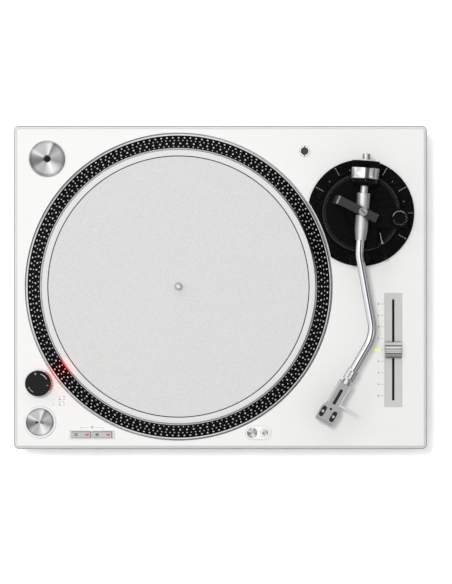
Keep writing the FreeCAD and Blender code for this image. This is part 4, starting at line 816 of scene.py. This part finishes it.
def make_speed_buttons():
    low, high, _ = extent("speed_button_bezel")
    frame_piece = Builder()
    inner = {side: extent(f"speed_button_{side}") for side in ("33", "45")}
    middle_x = (inner["33"][1].x + inner["45"][0].x) / 2
    left, right = inner["33"][0].x - 0.2, inner["45"][1].x + 0.2
    front, back = inner["33"][0].y - 0.2, inner["33"][1].y + 0.2
    for x0, x1, y0, y1 in (
        (low.x, high.x, low.y, front), (low.x, high.x, back, high.y), (low.x, left, front, back),
        (right, high.x, front, back), (middle_x - 0.75, middle_x + 0.75, front, back),
    ):
        frame_piece.box(x0, x1, y0, y1, panel - 5, high.z, bezel_grey, bevel=0.25)
    frame_piece.build("speed_frame", "chassis", "grey_button", ["speed_button_bezel"])
    for label, (a, b, _) in inner.items():
        top = b.z
        cap = Builder().box(a.x, b.x, a.y, b.y, panel - 5, top, button_cream, bevel=0.55, steps=3)
        x, y = (a.x + b.x) / 2, (a.y + b.y) / 2
        cap.box(x - 2, x + 2, y - 2, y + 2, a.z, panel - 4, button_cream)
        cap.box(b.x - 6, b.x - 2.2, y - 0.9, y + 0.9, top - 0.3, top + 0.12, bar_glow, bevel=0.15)
        cap.words(label, 4.0, a.x + 4.8, y, top, print_dark, bold=0.12)
        cap.box(a.x + 0.5, b.x - 0.3, b.y - 0.5, b.y - 0.2, top - 0.2, top + 0.02, print_dark)
        cap.box(b.x - 0.6, b.x - 0.2, a.y + 0.3, b.y - 0.3, top - 0.2, top + 0.02, print_dark)
        node = f"speed_button_{label}"
        cap.build(f"{node}_cap", f"speed_{label}_body", "grey_button", [node])


def printed(marks, left, right, front, back):
    """A flat bar printed on the panel."""
    marks.box(left, right, front, back, panel - 0.05, panel + 0.03, print_grey)


def make_panel_print():
    """Generic marks on the panel: the 78 bracket and the strobe legend."""
    marks = Builder()
    bezel = middle_of("speed_button_bezel")
    line = bezel.y + 7.7
    for start, end in ((bezel.x - 12.5, bezel.x - 3.7), (bezel.x + 3.6, bezel.x + 12)):
        printed(marks, start, end, line - 0.12, line + 0.12)
    for x in (bezel.x - 12.5, bezel.x + 12):
        printed(marks, x - 0.12, x + 0.12, line - 2.4, line)
    marks.words("78", 3.4, bezel.x, line, panel, print_grey, bold=0.06)
    tower = middle_of("power_knob")
    for row, size in enumerate((0.45, 0.75, 0.45, 0.75)):
        y = tower.y - 14.8 - row * 3.0
        outline = circle_points(size, 12)
        marks.solid(outline, panel - 0.05, panel + 0.03, print_dark, Matrix.Translation((tower.x + 22.6, y, 0)))
        marks.words(("+6", "+3", "0", "-3")[row], 2.4, tower.x + 27, y, panel, print_grey, bold=0.04)
        if size > 0.5:
            marks.words(("", "1", "", "2")[row], 2.4, tower.x + 16, y, panel, print_grey, bold=0.04)
    marks.build("panel_print", "chassis", "black_plastic")


# ---------------------------------------------------------------- tempo fader


def make_fader():
    low, high, middle = extent("tempo_plate")
    slot_half = 55.0
    plate = Builder()
    for x0, x1, y0, y1 in (
        (low.x, middle.x - 1.3, low.y, high.y), (middle.x + 1.3, high.x, low.y, high.y),
        (middle.x - 1.3, middle.x + 1.3, low.y, middle.y - slot_half),
        (middle.x - 1.3, middle.x + 1.3, middle.y + slot_half, high.y),
    ):
        plate.box(x0, x1, y0, y1, low.z, high.z, fader_plate, bevel=0.05, steps=1)
    plate.box(middle.x - 3.2, middle.x + 3.2, low.y + 3, high.y - 3, low.z - 4.6, low.z - 4.2, slot_dark)
    for x in (low.x + 0.2, high.x - 0.2):
        plate.box(x - 0.2, x + 0.2, low.y, high.y, high.z - 0.1, high.z + 0.02, print_faint)
    plate.box(low.x, high.x, low.y, low.y + 0.4, high.z - 0.1, high.z + 0.02, print_faint)
    plate.build("tempo_plate_metal", "chassis", "fader_silver", ["tempo_plate"])
    marks = Builder()
    spacing = 12.5
    digits = (8, 6, 4, 2, 0, 2, 4, 6, 8)
    for index, digit in enumerate(digits):
        y = middle.y + (index - 4) * spacing
        if digit:
            marks.words(str(digit), 3.4, low.x - 6.4, y, panel, print_grey, bold=0.06)
        printed(marks, low.x - 4.0, low.x - 1.2, y - 0.2, y + 0.2)
        if index < len(digits) - 1:
            y += spacing / 2
            printed(marks, low.x - 1.9, low.x - 1.2, y - 0.14, y + 0.14)
    marks.build("tempo_scale", "chassis", "black_plastic")
    low, high, middle = extent("tempo_knob")
    base = high.z - 8
    half = (high.y - low.y) / 2
    profile = [
        (-half, base), (-half, base + 2.4), (-half + 3.4, high.z - 0.6), (-half + 3.9, high.z - 1.6),
        (-half + 4.9, high.z - 1.6), (-half + 5.2, high.z), (-1.9, high.z), (-1.6, high.z - 0.9),
        (-1.0, high.z - 0.9), (-0.7, high.z), (0.7, high.z), (1.0, high.z - 0.9), (1.6, high.z - 0.9),
        (1.9, high.z), (half - 5.2, high.z), (half - 4.9, high.z - 1.6), (half - 3.9, high.z - 1.6),
        (half - 3.4, high.z - 0.6), (half, base + 2.4), (half, base),
    ]
    # Painted light and shade: bands along the knob stand for its lit and shaded bevels and ridges.
    knob_metal = Finish("fader_knob_metal", (0.88, 0.88, 0.87), 0.4, 0.4).grain(1600, 0.15)
    knob_metal = knob_metal.lengthwise(low.y, high.y, KNOB_SHADE_LEVELS).material
    cap = Builder()
    turn = Matrix(((0, 0, 1, 0), (1, 0, 0, 0), (0, 1, 0, 0), (0, 0, 0, 1)))
    place = Matrix.Translation((middle.x, middle.y, 0)) @ turn
    wide = (high.x - low.x) / 2
    cap.solid(profile, -wide, wide, knob_metal, place, bevel=0.22)
    cap.box(middle.x - 1.1, middle.x + 1.1, middle.y - 3, middle.y + 3, low.z, base + 0.5, slot_dark)
    cap.box(middle.x - wide + 0.2, middle.x + wide - 0.2, middle.y - 0.25, middle.y + 0.25, high.z - 0.1,
        high.z + 0.02, print_light)
    cap.build("tempo_knob_cap", "tempo_knob_body", "fader_silver", ["tempo_knob"])
    paint(green_glow, "tempo_zero_light")


# ---------------------------------------------------------------- target light and socket


def make_target_light():
    paint(white_moulding, "target_light_plate")
    low, high, middle = extent("target_light")
    radius = (high.x - low.x) / 2
    metal = spun_metal("light_metal", middle)
    profile = [
        (0, low.z), (radius, low.z), *rim(radius, high.z, (0, 1), (0.3, 0.3), (1, 0), (1.6, 0), (1.9, 0.3)),
        (0, high.z - 0.3),
    ]
    barrel = Builder().revolve(profile, metal, upright_at(middle.x, middle.y), 64)
    barrel.box(middle.x - 2.2, middle.x + 2.2, middle.y + radius - 0.6, middle.y + radius + 0.02, high.z - 9,
        high.z - 4, lens_clear)
    barrel.build("target_light_barrel", "target_light_body", "satin_metal", ["target_light"])
    low, high, middle = extent("target_light_button")
    radius = (high.x - low.x) / 2
    profile = [
        (0, low.z), (radius, low.z), *rim(radius, high.z, (0, 0.8), (0.5, 0.15), (1.1, 0)), (0, high.z - 0.2),
    ]
    cap_metal = spun_metal("light_button_metal", middle)
    Builder().revolve(profile, cap_metal, upright_at(middle.x, middle.y), 48).build(
        "target_light_button_cap", "target_light_button_body", "satin_metal", ["target_light_button"])
    plate_low, plate_high, _ = extent("target_light_plate")
    top = panel + 1
    half = (plate_high.y - plate_low.y) / 2 - 0.6
    line = Builder()
    line.arc(5.0, 0.35, 0, 360, top + 0.45, top + 0.53, print_grey, upright_at(middle.x, middle.y))
    for x, start in ((plate_low.x + 8, 90), (plate_high.x - 8, -90)):
        line.arc(half, 0.3, start, start + 180, top - 0.05, top + 0.02, print_grey, upright_at(x, middle.y))
    for y in (-half, half):
        line.box(plate_low.x + 8, plate_high.x - 8, middle.y + y - 0.15, middle.y + y + 0.15, top - 0.05,
            top + 0.02, print_grey)
    line.build("target_light_outline", "chassis", "black_plastic")


def make_socket():
    low, high, middle = extent("headshell_socket")
    place = upright_at(middle.x, middle.y)
    profile = [
        (4.1, low.z), (5, low.z), (5, panel), (5.8, panel), (5.8, high.z - 0.3), (5.5, high.z), (4.5, high.z),
        (4.1, high.z - 0.4), (4.1, low.z),
    ]
    cup = Builder().revolve(profile, white_moulding, place, 96)
    cup.revolve([(0, panel - 5), (4.05, panel - 5), (4.05, panel - 4.6), (0, panel - 4.6)], cup_grey, place, 48)
    cup.revolve([(4.02, panel - 4.6), (4.09, panel - 4.6), (4.09, high.z - 0.5), (4.02, high.z - 0.5)],
        matte_black, place, 48)
    # Painted shade: flat dark marks on the rim stand for its two slits.
    for side in (-1, 1):
        cup.box(-0.45, 0.45, side * 5.0 - 0.9, side * 5.0 + 0.9, high.z - 0.4, high.z + 0.02, slot_dark, place)
    cup.arc(5.75, 0.3, 0, 360, high.z - 0.3, high.z - 0.1, print_grey, place)
    cup.build("socket_cup", "chassis", "black_plastic", ["headshell_socket"])


# ---------------------------------------------------------------- tonearm base


def make_arm_base():
    top = high_of("arm_base_plate").z
    marks = Builder()
    for index in range(7):
        turn = -30 + 30 * index
        place = AT_PIVOT @ Matrix.Rotation(math.radians(turn), 4, "Z")
        marks.box(47.2, 53.6, -0.16, 0.16, top - 0.04, top + 0.03, print_faint, place)
        marks.words_round(str(index), 3.0, 55.2, turn, top, print_faint, AT_PIVOT)
        if index < 6:
            place = AT_PIVOT @ Matrix.Rotation(math.radians(turn + 15), 4, "Z")
            marks.box(47.2, 49.2, -0.14, 0.14, top - 0.04, top + 0.03, print_faint, place)
    marks.build("height_scale", "chassis", "arm_black")
    low, high, _ = extent("height_ring")
    outer = (high.x - low.x) / 2
    ring = [
        (38.6, low.z), (outer, low.z), *rim(outer, high.z, (0, 2.0), (0.9, 1.2), (3.3, 0.15), (3.8, 0)),
        (38.9, high.z), (38.6, high.z - 0.3), (38.6, low.z),
    ]
    teeth = knurled(TOOTH_COUNT, 0.35, low.z + 0.1, high.z + 1, 40)
    knurl = Builder().revolve(ring, satin_black, AT_PIVOT, 600, teeth)
    # Painted highlights: light ticks on the knurl's teeth.
    for index in range(TOOTH_COUNT):
        turn = AT_PIVOT @ Matrix.Rotation(2 * math.pi * index / TOOTH_COUNT, 4, "Z")
        knurl.box(outer - 3.4, outer - 1.2, -0.17, 0.17, high.z - 1.2, high.z - 0.14, tick_grey, turn)
    knurl.arc(38.75, 0.2, 0, 360, high.z - 0.3, high.z - 0.1, tick_grey, AT_PIVOT)
    knurl.build("height_ring_knurl", "height_ring_body", "arm_black", ["height_ring"], 50)


def make_platform():
    base = high_of("height_ring").z + 1.25
    marks = Builder()
    marks.arc(33, 0.25, 150, 330, base - 0.06, base + 0.02, print_faint, AT_PIVOT)
    marks.build("platform_line", "arm_platform_body", "arm_black")


def make_bridge():
    low, high = (corner.z for corner in extent("gimbal_bridge")[:2])
    bar = high - 4
    place = AT_PIVOT @ Matrix.Rotation(math.radians(154), 4, "Z")
    arch = Builder()
    lie = place @ Matrix(((1, 0, 0, 0), (0, 0, -1, 0), (0, 1, 0, 0), (0, 0, 0, 1)))
    side = [
        (-16.6, bar), (-16.6, high - 0.8), (-15.6, high), (28.2, high), (28.4, high - 0.05), (28.4, bar),
        (27, bar),
    ]
    arch.solid(side, -4.6, 4.6, bridge_grey, lie, bevel=0.35)
    arch.solid([(28.1, bar), (28.1, high - 0.05), (30.4, high - 1.9), (28.6, bar)], -4.5, 4.5, bend_grey, lie,
        bevel=0.2)
    arch.solid([(28.3, bar + 0.3), (30.5, high - 1.8), (34, low), (30, low)], -4.9, 4.9, bridge_grey, lie,
        bevel=0.3)
    arch.box(-16.6, -12.8, -5, 5, low + 10, bar + 1, bridge_grey, place, bevel=0.5)
    for y in (-3.2, 0, 3.2):
        arch.box(-16.75, -15.2, y - 1.2, y + 1.2, bar + 0.8, high - 0.9, gilt, place, bevel=0.3)
    arch.build("bridge_arch", body="arm_platform_body", slot="dark_grey_metal", replaced=["gimbal_bridge"])
    top = high_of("pivot_screw").z
    head = Builder()
    foot = low_of("pivot_screw").z
    profile = [
        (0, foot), (2, foot), (2, high), (4.7, high), (4.7, top - 0.5), (4.2, top - 0.05), (3.6, top),
        (3.3, top - 0.45), (0, top - 0.45),
    ]
    head.revolve(profile, bend_grey, AT_PIVOT, 64)
    # Painted shade: a flat dark bar across the head stands for its slot.
    slot_place = AT_PIVOT @ Matrix.Rotation(math.radians(-50), 4, "Z")
    head.box(-3.2, 3.2, -0.5, 0.5, top - 0.46, top - 0.4, slot_dark, slot_place)
    head.build("pivot_screw_head", "arm_platform_body", "steel_polished", ["pivot_screw"])


def make_knobs_and_levers():
    low, high, middle = extent("anti_skate_knob")
    radius = (high.x - low.x) / 2
    top = high.z
    skirt = top - 6
    place = upright_at(middle.x, middle.y)
    profile = [
        (0, low.z), (2, low.z), (2, skirt), (radius, skirt), *rim(radius, top, (0, 0.9), (0.5, 0.2), (1.0, 0)),
        (0, top),
    ]
    knob = Builder().revolve(profile, satin_black, place, 144, knurled(48, 0.3, skirt - 0.1, top - 0.3))
    for index in range(8):
        turn = -160 + index * 30
        knob.words_round(str(index), 1.9, radius - 2.2, turn, top, print_grey, place)
        tick = place @ Matrix.Rotation(math.radians(turn + 15), 4, "Z")
        knob.box(radius - 2.0, radius - 1.1, -0.12, 0.12, top - 0.04, top + 0.03, print_faint, tick)
    knob.arc(radius - 1.2, 0.4, 50, 165, top - 0.04, top + 0.03, print_faint, place)
    knob.build("anti_skate_dial", "anti_skate_body", "arm_black", ["anti_skate_knob"])

    hub = joint_place("height_lock_turn")
    low, high, _ = extent("height_lock_lever")
    profile = [(0, low.z), (2, low.z), (2, high.z - 6.5), (4, high.z - 6.5), (4, high.z), (0, high.z)]
    lever = Builder().revolve(soft_corners(profile, 0.6), satin_black, upright_at(hub.x, hub.y), 48)
    outline = [(0, -2), (9, -2), (13, -1.2), (13, 1.2), (9, 2), (0, 2)]
    lever.solid(outline, high.z - 5.5, high.z - 2.5, satin_black, upright_at(hub.x, hub.y, 0, 6), bevel=0.5)
    lever.build("height_lock_arm", "height_lock_body", "arm_black", ["height_lock_lever"])

    hinge = joint_place("cue_lever_turn")
    tilt = Matrix.Translation(hinge) @ Matrix.Rotation(math.radians(-20), 4, "X")
    cue = Builder()
    axle = [Vector((-8.1, 0, 0)), Vector((-1, 0, 0)), Vector((0, 0, 0)), Vector((1.2, 0, 0))]
    cue.sweep(axle, 2.0, satin_black, tilt, 24)
    rod = [Vector((2.6 * share / 8, -15.3 * share / 8, 0)) for share in range(9)]
    cue.sweep(rod, lambda share: 1.3 + 0.25 * share, polished_steel, tilt, 24)
    grip = [Vector((2.5 + 2.7 * share / 10, -14.8 - 15.8 * share / 10, 0)) for share in range(11)]
    cue.sweep(grip, lambda share: 1.7 + 0.75 * math.sin(math.pi * (0.2 + 0.6 * share)), matte_black, tilt, 24)
    cue.build("cue_lever_arm", "cue_lever_body", "satin_metal", ["cue_lever"])

    low, high, _ = extent("cue_lift_bar")
    bar = Builder().arc(29.5, 3, 214, 290, high.z - 3, high.z, matte_black, AT_PIVOT)
    angle = math.radians(288)
    foot = AT_PIVOT @ Matrix.Translation((29.5 * math.cos(angle), 29.5 * math.sin(angle), 0))
    bar.revolve([(0, low.z), (2, low.z), (2, high.z - 0.2), (0, high.z - 0.2)], matte_black, foot, 32)
    bar.build("cue_lift_arc", "cue_lift_body", "arm_black", ["cue_lift_bar"])


# ---------------------------------------------------------------- tonearm


def arm_path():
    """The tube's centre line about the pivot, in arm space: runs joined by tangent arcs."""
    first, second = math.radians(14.4), math.radians(40.3)
    bend = Vector((0, -45.6, 0))
    turned = Vector((math.sin(first), -math.cos(first), 0))
    corner = bend + turned * 87.6
    last = Vector((math.sin(first - second), -math.cos(first - second), 0))
    end = corner + last * 48.9
    route = [Vector((0, -12, 0))]
    for place, before, after, turn, radius in (
        (bend, Vector((0, -1, 0)), turned, first, 40), (corner, turned, last, second, 39),
    ):
        reach = radius * math.tan(turn / 2)
        enter, leave = place - before * reach, place + after * reach
        inward = (after - before).normalized()
        centre = place + inward * (radius / math.cos(turn / 2))
        begin = route[-1]
        for index in range(1, 13):
            route.append(begin.lerp(enter, index / 12))
        spin = (enter - centre).angle(leave - centre)
        way = 1 if (enter - centre).cross(leave - centre).z > 0 else -1
        for index in range(1, 25):
            turn_by = Matrix.Rotation(way * spin * index / 24, 4, "Z")
            route.append(centre + turn_by @ (enter - centre))
    begin = route[-1]
    for index in range(1, 13):
        route.append(begin.lerp(end, index / 12))
    return route


def make_arm():
    body = "tonearm_body"
    Builder().sweep(arm_path(), 4.5, chrome, ON_ARM, 48).build("arm_tube_chrome", body, "chrome_tube",
        ["arm_tube"])
    lie = ON_ARM @ ALONG_Y
    sleeve = [
        (4.5, -30.2), (5.55, -30.2), (5.75, -30.0), (7.05, -20.3), (7.2, -19.8), (7.2, 19.9), (6.9, 20.3),
        (4.15, 20.3), (4.15, 8), (4.5, -12), (4.5, -30.2),
    ]
    Builder().revolve(sleeve, satin_silver, lie, 96).build("arm_sleeve_silver", body, "satin_metal",
        ["arm_sleeve"])
    shaft = [(0, 8), (4.15, 8), (4.15, 62.5), (3.7, 63.1), (1.5, 63.1), (1.2, 62.5), (0, 62.5)]
    Builder().revolve(shaft, satin_silver, lie, 64).build("rear_shaft_rod", body, "satin_metal", ["rear_shaft"])
    ring = [(8.2, -3.5), (10.6, -3.5), (11, -3.1), (11, 3.1), (10.6, 3.5), (8.2, 3.5), (8.2, -3.5)]
    gimbal = Builder().revolve(ring, satin_black, lie, 96)
    for way in (-1, 1):
        pin = [Vector((way * 7.35, 0, 0)), Vector((way * 9, 0, 0)), Vector((way * 10.8, 0, 0))]
        gimbal.sweep(pin, 1.2, satin_black, ON_ARM, 20)
    gimbal.build("gimbal_ring_silver", "gimbal_body", "satin_metal", ["gimbal_ring"])


def make_counterweight():
    lie = ON_ARM @ ALONG_Y
    bore = 6.05
    profile = [
        (bore, 35.8), (14.2, 35.8), (14.8, 36.2), (15, 36.8), (15, 46.9), (14.7, 47.3), (14.3, 47.5),
        (14.3, 47.8, satin_black), (14.9, 48.1, satin_black), (14.9, 50.6, satin_black),
        (14.2, 50.9, satin_black), (14.2, 51.4, satin_black), (14.9, 51.7, satin_black),
        (14.9, 55.0, satin_black), (14.4, 56.0, finger_silver), (13.6, 56.2, finger_silver),
        (11.5, 56.2, satin_black), (11.2, 55.9, satin_black), (bore, 55.9, satin_black),
    ]
    Builder().revolve(profile, weight_chrome, lie, 360, knurled(90, 0.45, 47.9, 54.7, 14)).build(
        "counterweight_body_metal", "counterweight_body", "chrome_tube", ["counterweight"], 40)
    dial = Builder()
    shape = [(bore, 28.2), (9.8, 28.2), (10.3, 28.5), (13.3, 31.0), (13.6, 31.4), (13.6, 35.3), (13.3, 35.6),
        (bore, 35.6), (bore, 28.2)]
    dial.revolve(shape, satin_black, lie, 128)
    for index in range(32):
        turn = Matrix.Rotation(2 * math.pi * index / 32, 4, "Y")
        long_tick = index % 8 == 0
        length = 1.5 if long_tick else 0.8
        dial.box(-0.1, 0.1, 33.4 - length, 33.4, 13.55, 13.64, tick_grey, ON_ARM @ turn)
        if long_tick:
            dial.words(str(index // 8), 1.8, 0, 34.5, 13.6, print_grey, 180, matrix=ON_ARM @ turn)
    dial.build("counterweight_dial_ring", "counterweight_dial_body", "black_plastic", ["counterweight_dial"])


SHELL_BACK, SHELL_FRONT = -59.6, -109.6
SHELL_NECK, SHELL_HALF = 7.6, 10.3
SCREW_X, SCREW_Y = 6.35, SHELL_FRONT + 11
NECK_SLOT = (-1.6, 1.6, SHELL_BACK - 27, SHELL_BACK - 9)


def make_collar():
    collar = [
        (4.55, -56.6), (5.4, -56.6), (5.95, -56.1), (5.95, -55.0), (5.7, -54.8), (5.7, -54.5), (5.95, -54.3),
        (5.95, -46.2), (5.7, -46.0), (5.7, -45.7), (5.95, -45.5), (5.95, -44.5), (5.5, -44.1), (4.55, -44.1),
        (4.55, -56.6),
    ]
    grip = knurled(40, 0.18, -55.2, -45.4, 5.6)
    Builder().revolve(collar, collar_silver, ON_SHELL @ ALONG_Y, 160, grip).build(
        "collar_nut", "arm_collar_body", "satin_metal", ["arm_collar"], 40)


def shell_half_width(y):
    """Half the headshell's width: a parallel neck, a shoulder, a parallel nose and rounded front corners."""
    share = (SHELL_BACK - y) / (SHELL_BACK - SHELL_FRONT)
    if share < 0.56:
        return SHELL_NECK
    if share < 0.68:
        ease = (share - 0.56) / 0.12
        return SHELL_NECK + (SHELL_HALF - SHELL_NECK) * (3 * ease ** 2 - 2 * ease ** 3)
    return SHELL_HALF if share < 0.97 else SHELL_HALF - 1.4 * (share - 0.97) / 0.03


def shell_plate():
    """The headshell's plate as points and faces: a grid with its slots left open, thickened downwards."""
    holes = [NECK_SLOT]
    for side in (-1, 1):
        holes.append((side * SCREW_X - 1.5, side * SCREW_X + 1.5, SCREW_Y - 5, SCREW_Y + 5))
    steps = 40
    rows = {SHELL_BACK + (SHELL_FRONT - SHELL_BACK) * index / steps for index in range(steps + 1)}
    rows |= {hole[2] for hole in holes} | {hole[3] for hole in holes}
    rows = sorted(rows, reverse=True)
    columns = (-7.85, -4.85, -1.6, 1.6, 4.85, 7.85)
    points = []
    for y in rows:
        reach = shell_half_width(y)
        inner = [max(-reach * 0.9, min(reach * 0.9, x)) for x in columns]
        points += [(x, y, 1.0) for x in (-reach, -reach * 0.93, *inner, reach * 0.93, reach)]
    count = len(columns) + 4
    work = bmesh.new()
    verts = [work.verts.new(point) for point in points]
    for row in range(len(rows) - 1):
        for column in range(count - 1):
            first = row * count + column
            quad = [first, first + 1, first + count + 1, first + count]
            x, y = (sum(points[corner][axis] for corner in quad) / 4 for axis in (0, 1))
            if not any(left < x < right and front < y < back for left, right, front, back in holes):
                work.faces.new([verts[corner] for corner in quad])
    bmesh.ops.remove_doubles(work, verts=work.verts, dist=0.001)
    loose = [vert for vert in work.verts if not vert.link_faces]
    bmesh.ops.delete(work, geom=loose, context="VERTS")
    grown = bmesh.ops.extrude_face_region(work, geom=list(work.faces))
    for item in grown["geom"]:
        if isinstance(item, bmesh.types.BMVert):
            item.co.z -= 3.0
    bmesh.ops.recalc_face_normals(work, faces=work.faces)
    steep = math.radians(50)
    sharp = [edge for edge in work.edges if len(edge.link_faces) == 2 and edge.calc_face_angle(0) > steep]
    bmesh.ops.bevel(work, geom=sharp, offset=0.3, segments=2, profile=0.5, affect="EDGES", clamp_overlap=True)
    work.verts.index_update()
    points = [vert.co.copy() for vert in work.verts]
    faces = [[vert.index for vert in face.verts] for face in work.faces]
    work.free()
    return points, faces


def make_headshell():
    back, front = SHELL_BACK, SHELL_FRONT
    shell = Builder(ON_SHELL).add(*shell_plate(), shell_grey)
    shell.box(-7.3, 7.3, back - 11, back, -5, 0.9, shell_grey, bevel=0.8, steps=3)
    # Painted shade: a dark plate fills the neck slot just under its top and another lies beneath it, standing
    # for the shade seen through the slot.
    shell.box(-2.2, 2.2, back - 27.6, back - 8.4, -2.6, -2.05, slot_dark, bevel=0.1)
    shell.box(-1.55, 1.55, back - 26.9, back - 9.1, 0.2, 0.95, slot_dark)
    # Painted highlights: light strips along both edges of the neck.
    for low_x, high_x in ((-6.9, -6.2), (6.2, 6.9)):
        shell.box(low_x, high_x, back - 27, back - 1.5, 0.95, 1.03, finger_silver)
    circle = circle_points(2.55, 24)
    # Painted shade: under each screw slot a dark plate, and round it on top a dark oval, stand for the shade in
    # the slot.
    for x in (-SCREW_X, SCREW_X):
        shell.box(x - 1.45, x + 1.45, SCREW_Y - 4.9, SCREW_Y + 4.9, -1.9, -1.5, slot_dark)
        oval = [(x + across, SCREW_Y + 3.7 + along) for across, along in circle[:13]]
        oval += [(x + across, SCREW_Y - 3.7 + along) for across, along in circle[12:] + circle[:1]]
        shell.solid(oval, 0.9, 1.03, slot_dark)
    # Painted shade: a flat dark disc stands for the hollow of the dimple.
    dimple = ON_SHELL @ Matrix.Translation((0, back - 33, 0))
    shell.revolve([(0, 0.9), (1.4, 0.9), (1.4, 1.04), (0, 1.04)], slot_dark, dimple, 24)
    shell.box(-9.6, 9.6, front + 2.4, front + 2.8, 0.9, 1.03, tick_grey)
    stub = [(0, back - 2), (4.4, back - 2), (4.4, -49.4), (4.1, -49.1), (0, -49.1)]
    shell.revolve(stub, satin_silver, ON_SHELL @ ALONG_Y, 48)
    shell.build("headshell_plate", "headshell_body", "shell_satin", ["headshell"])


def make_cartridge():
    """The cartridge narrows to the rear, so that none of it shows beside the headshell's neck."""
    back, front, low, top = SHELL_BACK, SHELL_FRONT, -16, -2.05
    outline = [
        (-8.3, front + 3), (8.3, front + 3), (8.3, back - 35), (7.3, back - 32), (-7.3, back - 32),
        (-8.3, back - 35),
    ]
    cartridge = Builder(ON_SHELL).solid(outline, low, top, matte_black, bevel=0.4)
    cartridge.box(-6.8, 6.8, back - 32.2, back - 24, low + 3, top, matte_black, bevel=0.4)
    for x in (-4.5, -1.5, 1.5, 4.5):
        cartridge.box(x - 0.5, x + 0.5, back - 24.1, back - 22.8, low + 6, low + 7, gilt, bevel=0.1)
    cartridge.build("cartridge_shape", "headshell_body", "cartridge_plastic", ["cartridge"])


def make_finger_lift():
    route = []
    for index in range(17):
        share = index / 16
        rise = 0.45 + 0.3 * math.sin(share * math.pi) - 0.4 * share
        route.append(Vector((7.2 + 19.8 * share, SHELL_BACK - 25, rise)))
    flat = ON_SHELL @ Matrix.Diagonal((1, 1, 0.55, 1))
    finger = Builder().sweep(route, lambda share: 1.5 - 0.9 * share, finger_silver, flat, 20)
    finger.build("finger_lift_blade", "headshell_body", "shell_satin", ["finger_lift"])


def make_cartridge_screws():
    screws = Builder()
    profile = [(0, -7), (1.25, -7), (1.25, 1.0), (1.6, 1.0), (1.6, 2.2), (1.4, 2.7), (1.1, 2.8), (0, 2.8)]
    for x in (-SCREW_X, SCREW_X):
        place = ON_SHELL @ Matrix.Translation((x, SCREW_Y, 0))
        screws.revolve(soft_corners(profile, 0.2, 2), polished_steel, place, 32)
        # Painted shade: a flat dark bar across each head stands for its slot.
        screws.box(-1.3, 1.3, -0.3, 0.3, 2.5, 2.82, slot_dark, place)
    screws.build("cartridge_screw_pair", "headshell_body", "screw_steel", ["cartridge_screws"])



# ---------------------------------------------------------------- studio


CAMERA_ABOVE = 3200.0
CAMERA_X = 6.0
CAMERA_Y = -5.0
VIEW_TALL = 636.0
SENSOR = 36.0


def area_light(name, place, target, size, power, color=(1, 1, 1), size_y=None):
    data = bpy.data.lights.new(name, "AREA")
    data.energy = power
    data.color = color
    data.size = size
    if size_y:
        data.shape = "RECTANGLE"
        data.size_y = size_y
    lamp = bpy.data.objects.new(name, data)
    lamp.location = place
    lamp.rotation_euler = (Vector(target) - Vector(place)).to_track_quat("-Z", "Y").to_euler()
    bpy.context.scene.collection.objects.link(lamp)
    return lamp


def make_world():
    """White overhead, dark round the horizon, so that metal shows both."""
    world = bpy.data.worlds.new("studio")
    world.use_nodes = True
    tree = world.node_tree
    way = tree.nodes.new("ShaderNodeTexCoord")
    parts = tree.nodes.new("ShaderNodeSeparateXYZ")
    tree.links.new(way.outputs["Generated"], parts.inputs["Vector"])
    ramp = tree.nodes.new("ShaderNodeValToRGB")
    stops = ramp.color_ramp.elements
    stops[0].position, stops[0].color = 0.0, (0.06, 0.06, 0.065, 1)
    stops[1].position, stops[1].color = 1.0, (0.9, 0.9, 0.9, 1)
    for place, level in ((0.42, 0.08), (0.62, 0.2), (0.82, 0.86)):
        stop = stops.new(place)
        stop.color = (level, level, level * 1.01, 1)
    tree.links.new(parts.outputs["Z"], ramp.inputs["Fac"])
    tree.links.new(ramp.outputs["Color"], tree.nodes["Background"].inputs["Color"])
    tree.nodes["Background"].inputs["Strength"].default_value = 1.15
    bpy.context.scene.world = world


def make_studio():
    floor_mesh = bpy.data.meshes.new("floor")
    floor_mesh.from_pydata([(-4, -4, 0), (4, -4, 0), (4, 4, 0), (-4, 4, 0)], [], [(0, 1, 2, 3)])
    floor = bpy.data.objects.new("floor", floor_mesh)
    bpy.context.scene.collection.objects.link(floor)
    floor_mesh.materials.append(Finish("floor_white", (0.93, 0.93, 0.93), 0.9).glow((1, 1, 1), 0.3).material)
    make_world()
    key = area_light("key", (-0.4, 0.34, 4.0), (0, 0, 0.1), 0.5, 77)
    key.visible_glossy = False
    area_light("left_strip", (-1.7, 0.5, 1.7), (0, 0, 0.1), 0.3, 5, size_y=2.0)
    area_light("rear_strip", (-0.5, 2.0, 1.9), (0, 0, 0.1), 1.4, 6, size_y=0.3)
    area_light("right_strip", (1.9, -0.3, 1.3), (0, 0, 0.1), 0.2, 2, size_y=1.6)
    tower = middle_of("strobe_window")
    way = Vector((math.cos(math.radians(28)), math.sin(math.radians(28)), 0))
    centre = middle_of("power_knob")
    start = Vector((centre.x, centre.y, panel + 16)) + way * 24
    area_light("strobe_glow", start * MM, (start + way * 6 + Vector((0, 0, -12))) * MM, 0.014, 0.003,
        (1, 0.01, 0.01), size_y=0.03)
    data = bpy.data.cameras.new("camera")
    data.sensor_width = SENSOR
    data.lens = SENSOR * CAMERA_ABOVE / VIEW_TALL
    data.clip_end = 20
    camera = bpy.data.objects.new("camera", data)
    camera.location = (CAMERA_X * MM, CAMERA_Y * MM, (panel + CAMERA_ABOVE) * MM)
    bpy.context.scene.collection.objects.link(camera)
    bpy.context.scene.camera = camera
    bpy.context.scene.view_settings.view_transform = "Standard"


make_studio()
make_casing()
make_feet()
make_platter()
make_spindle()
make_slipmat()
make_adapter()
make_tower_and_knob()
make_start_button()
make_speed_buttons()
make_panel_print()
make_fader()
make_target_light()
make_socket()
make_arm_base()
make_platform()
make_bridge()
make_knobs_and_levers()
make_arm()
make_counterweight()
make_collar()
make_headshell()
make_cartridge()
make_finger_lift()
make_cartridge_screws()
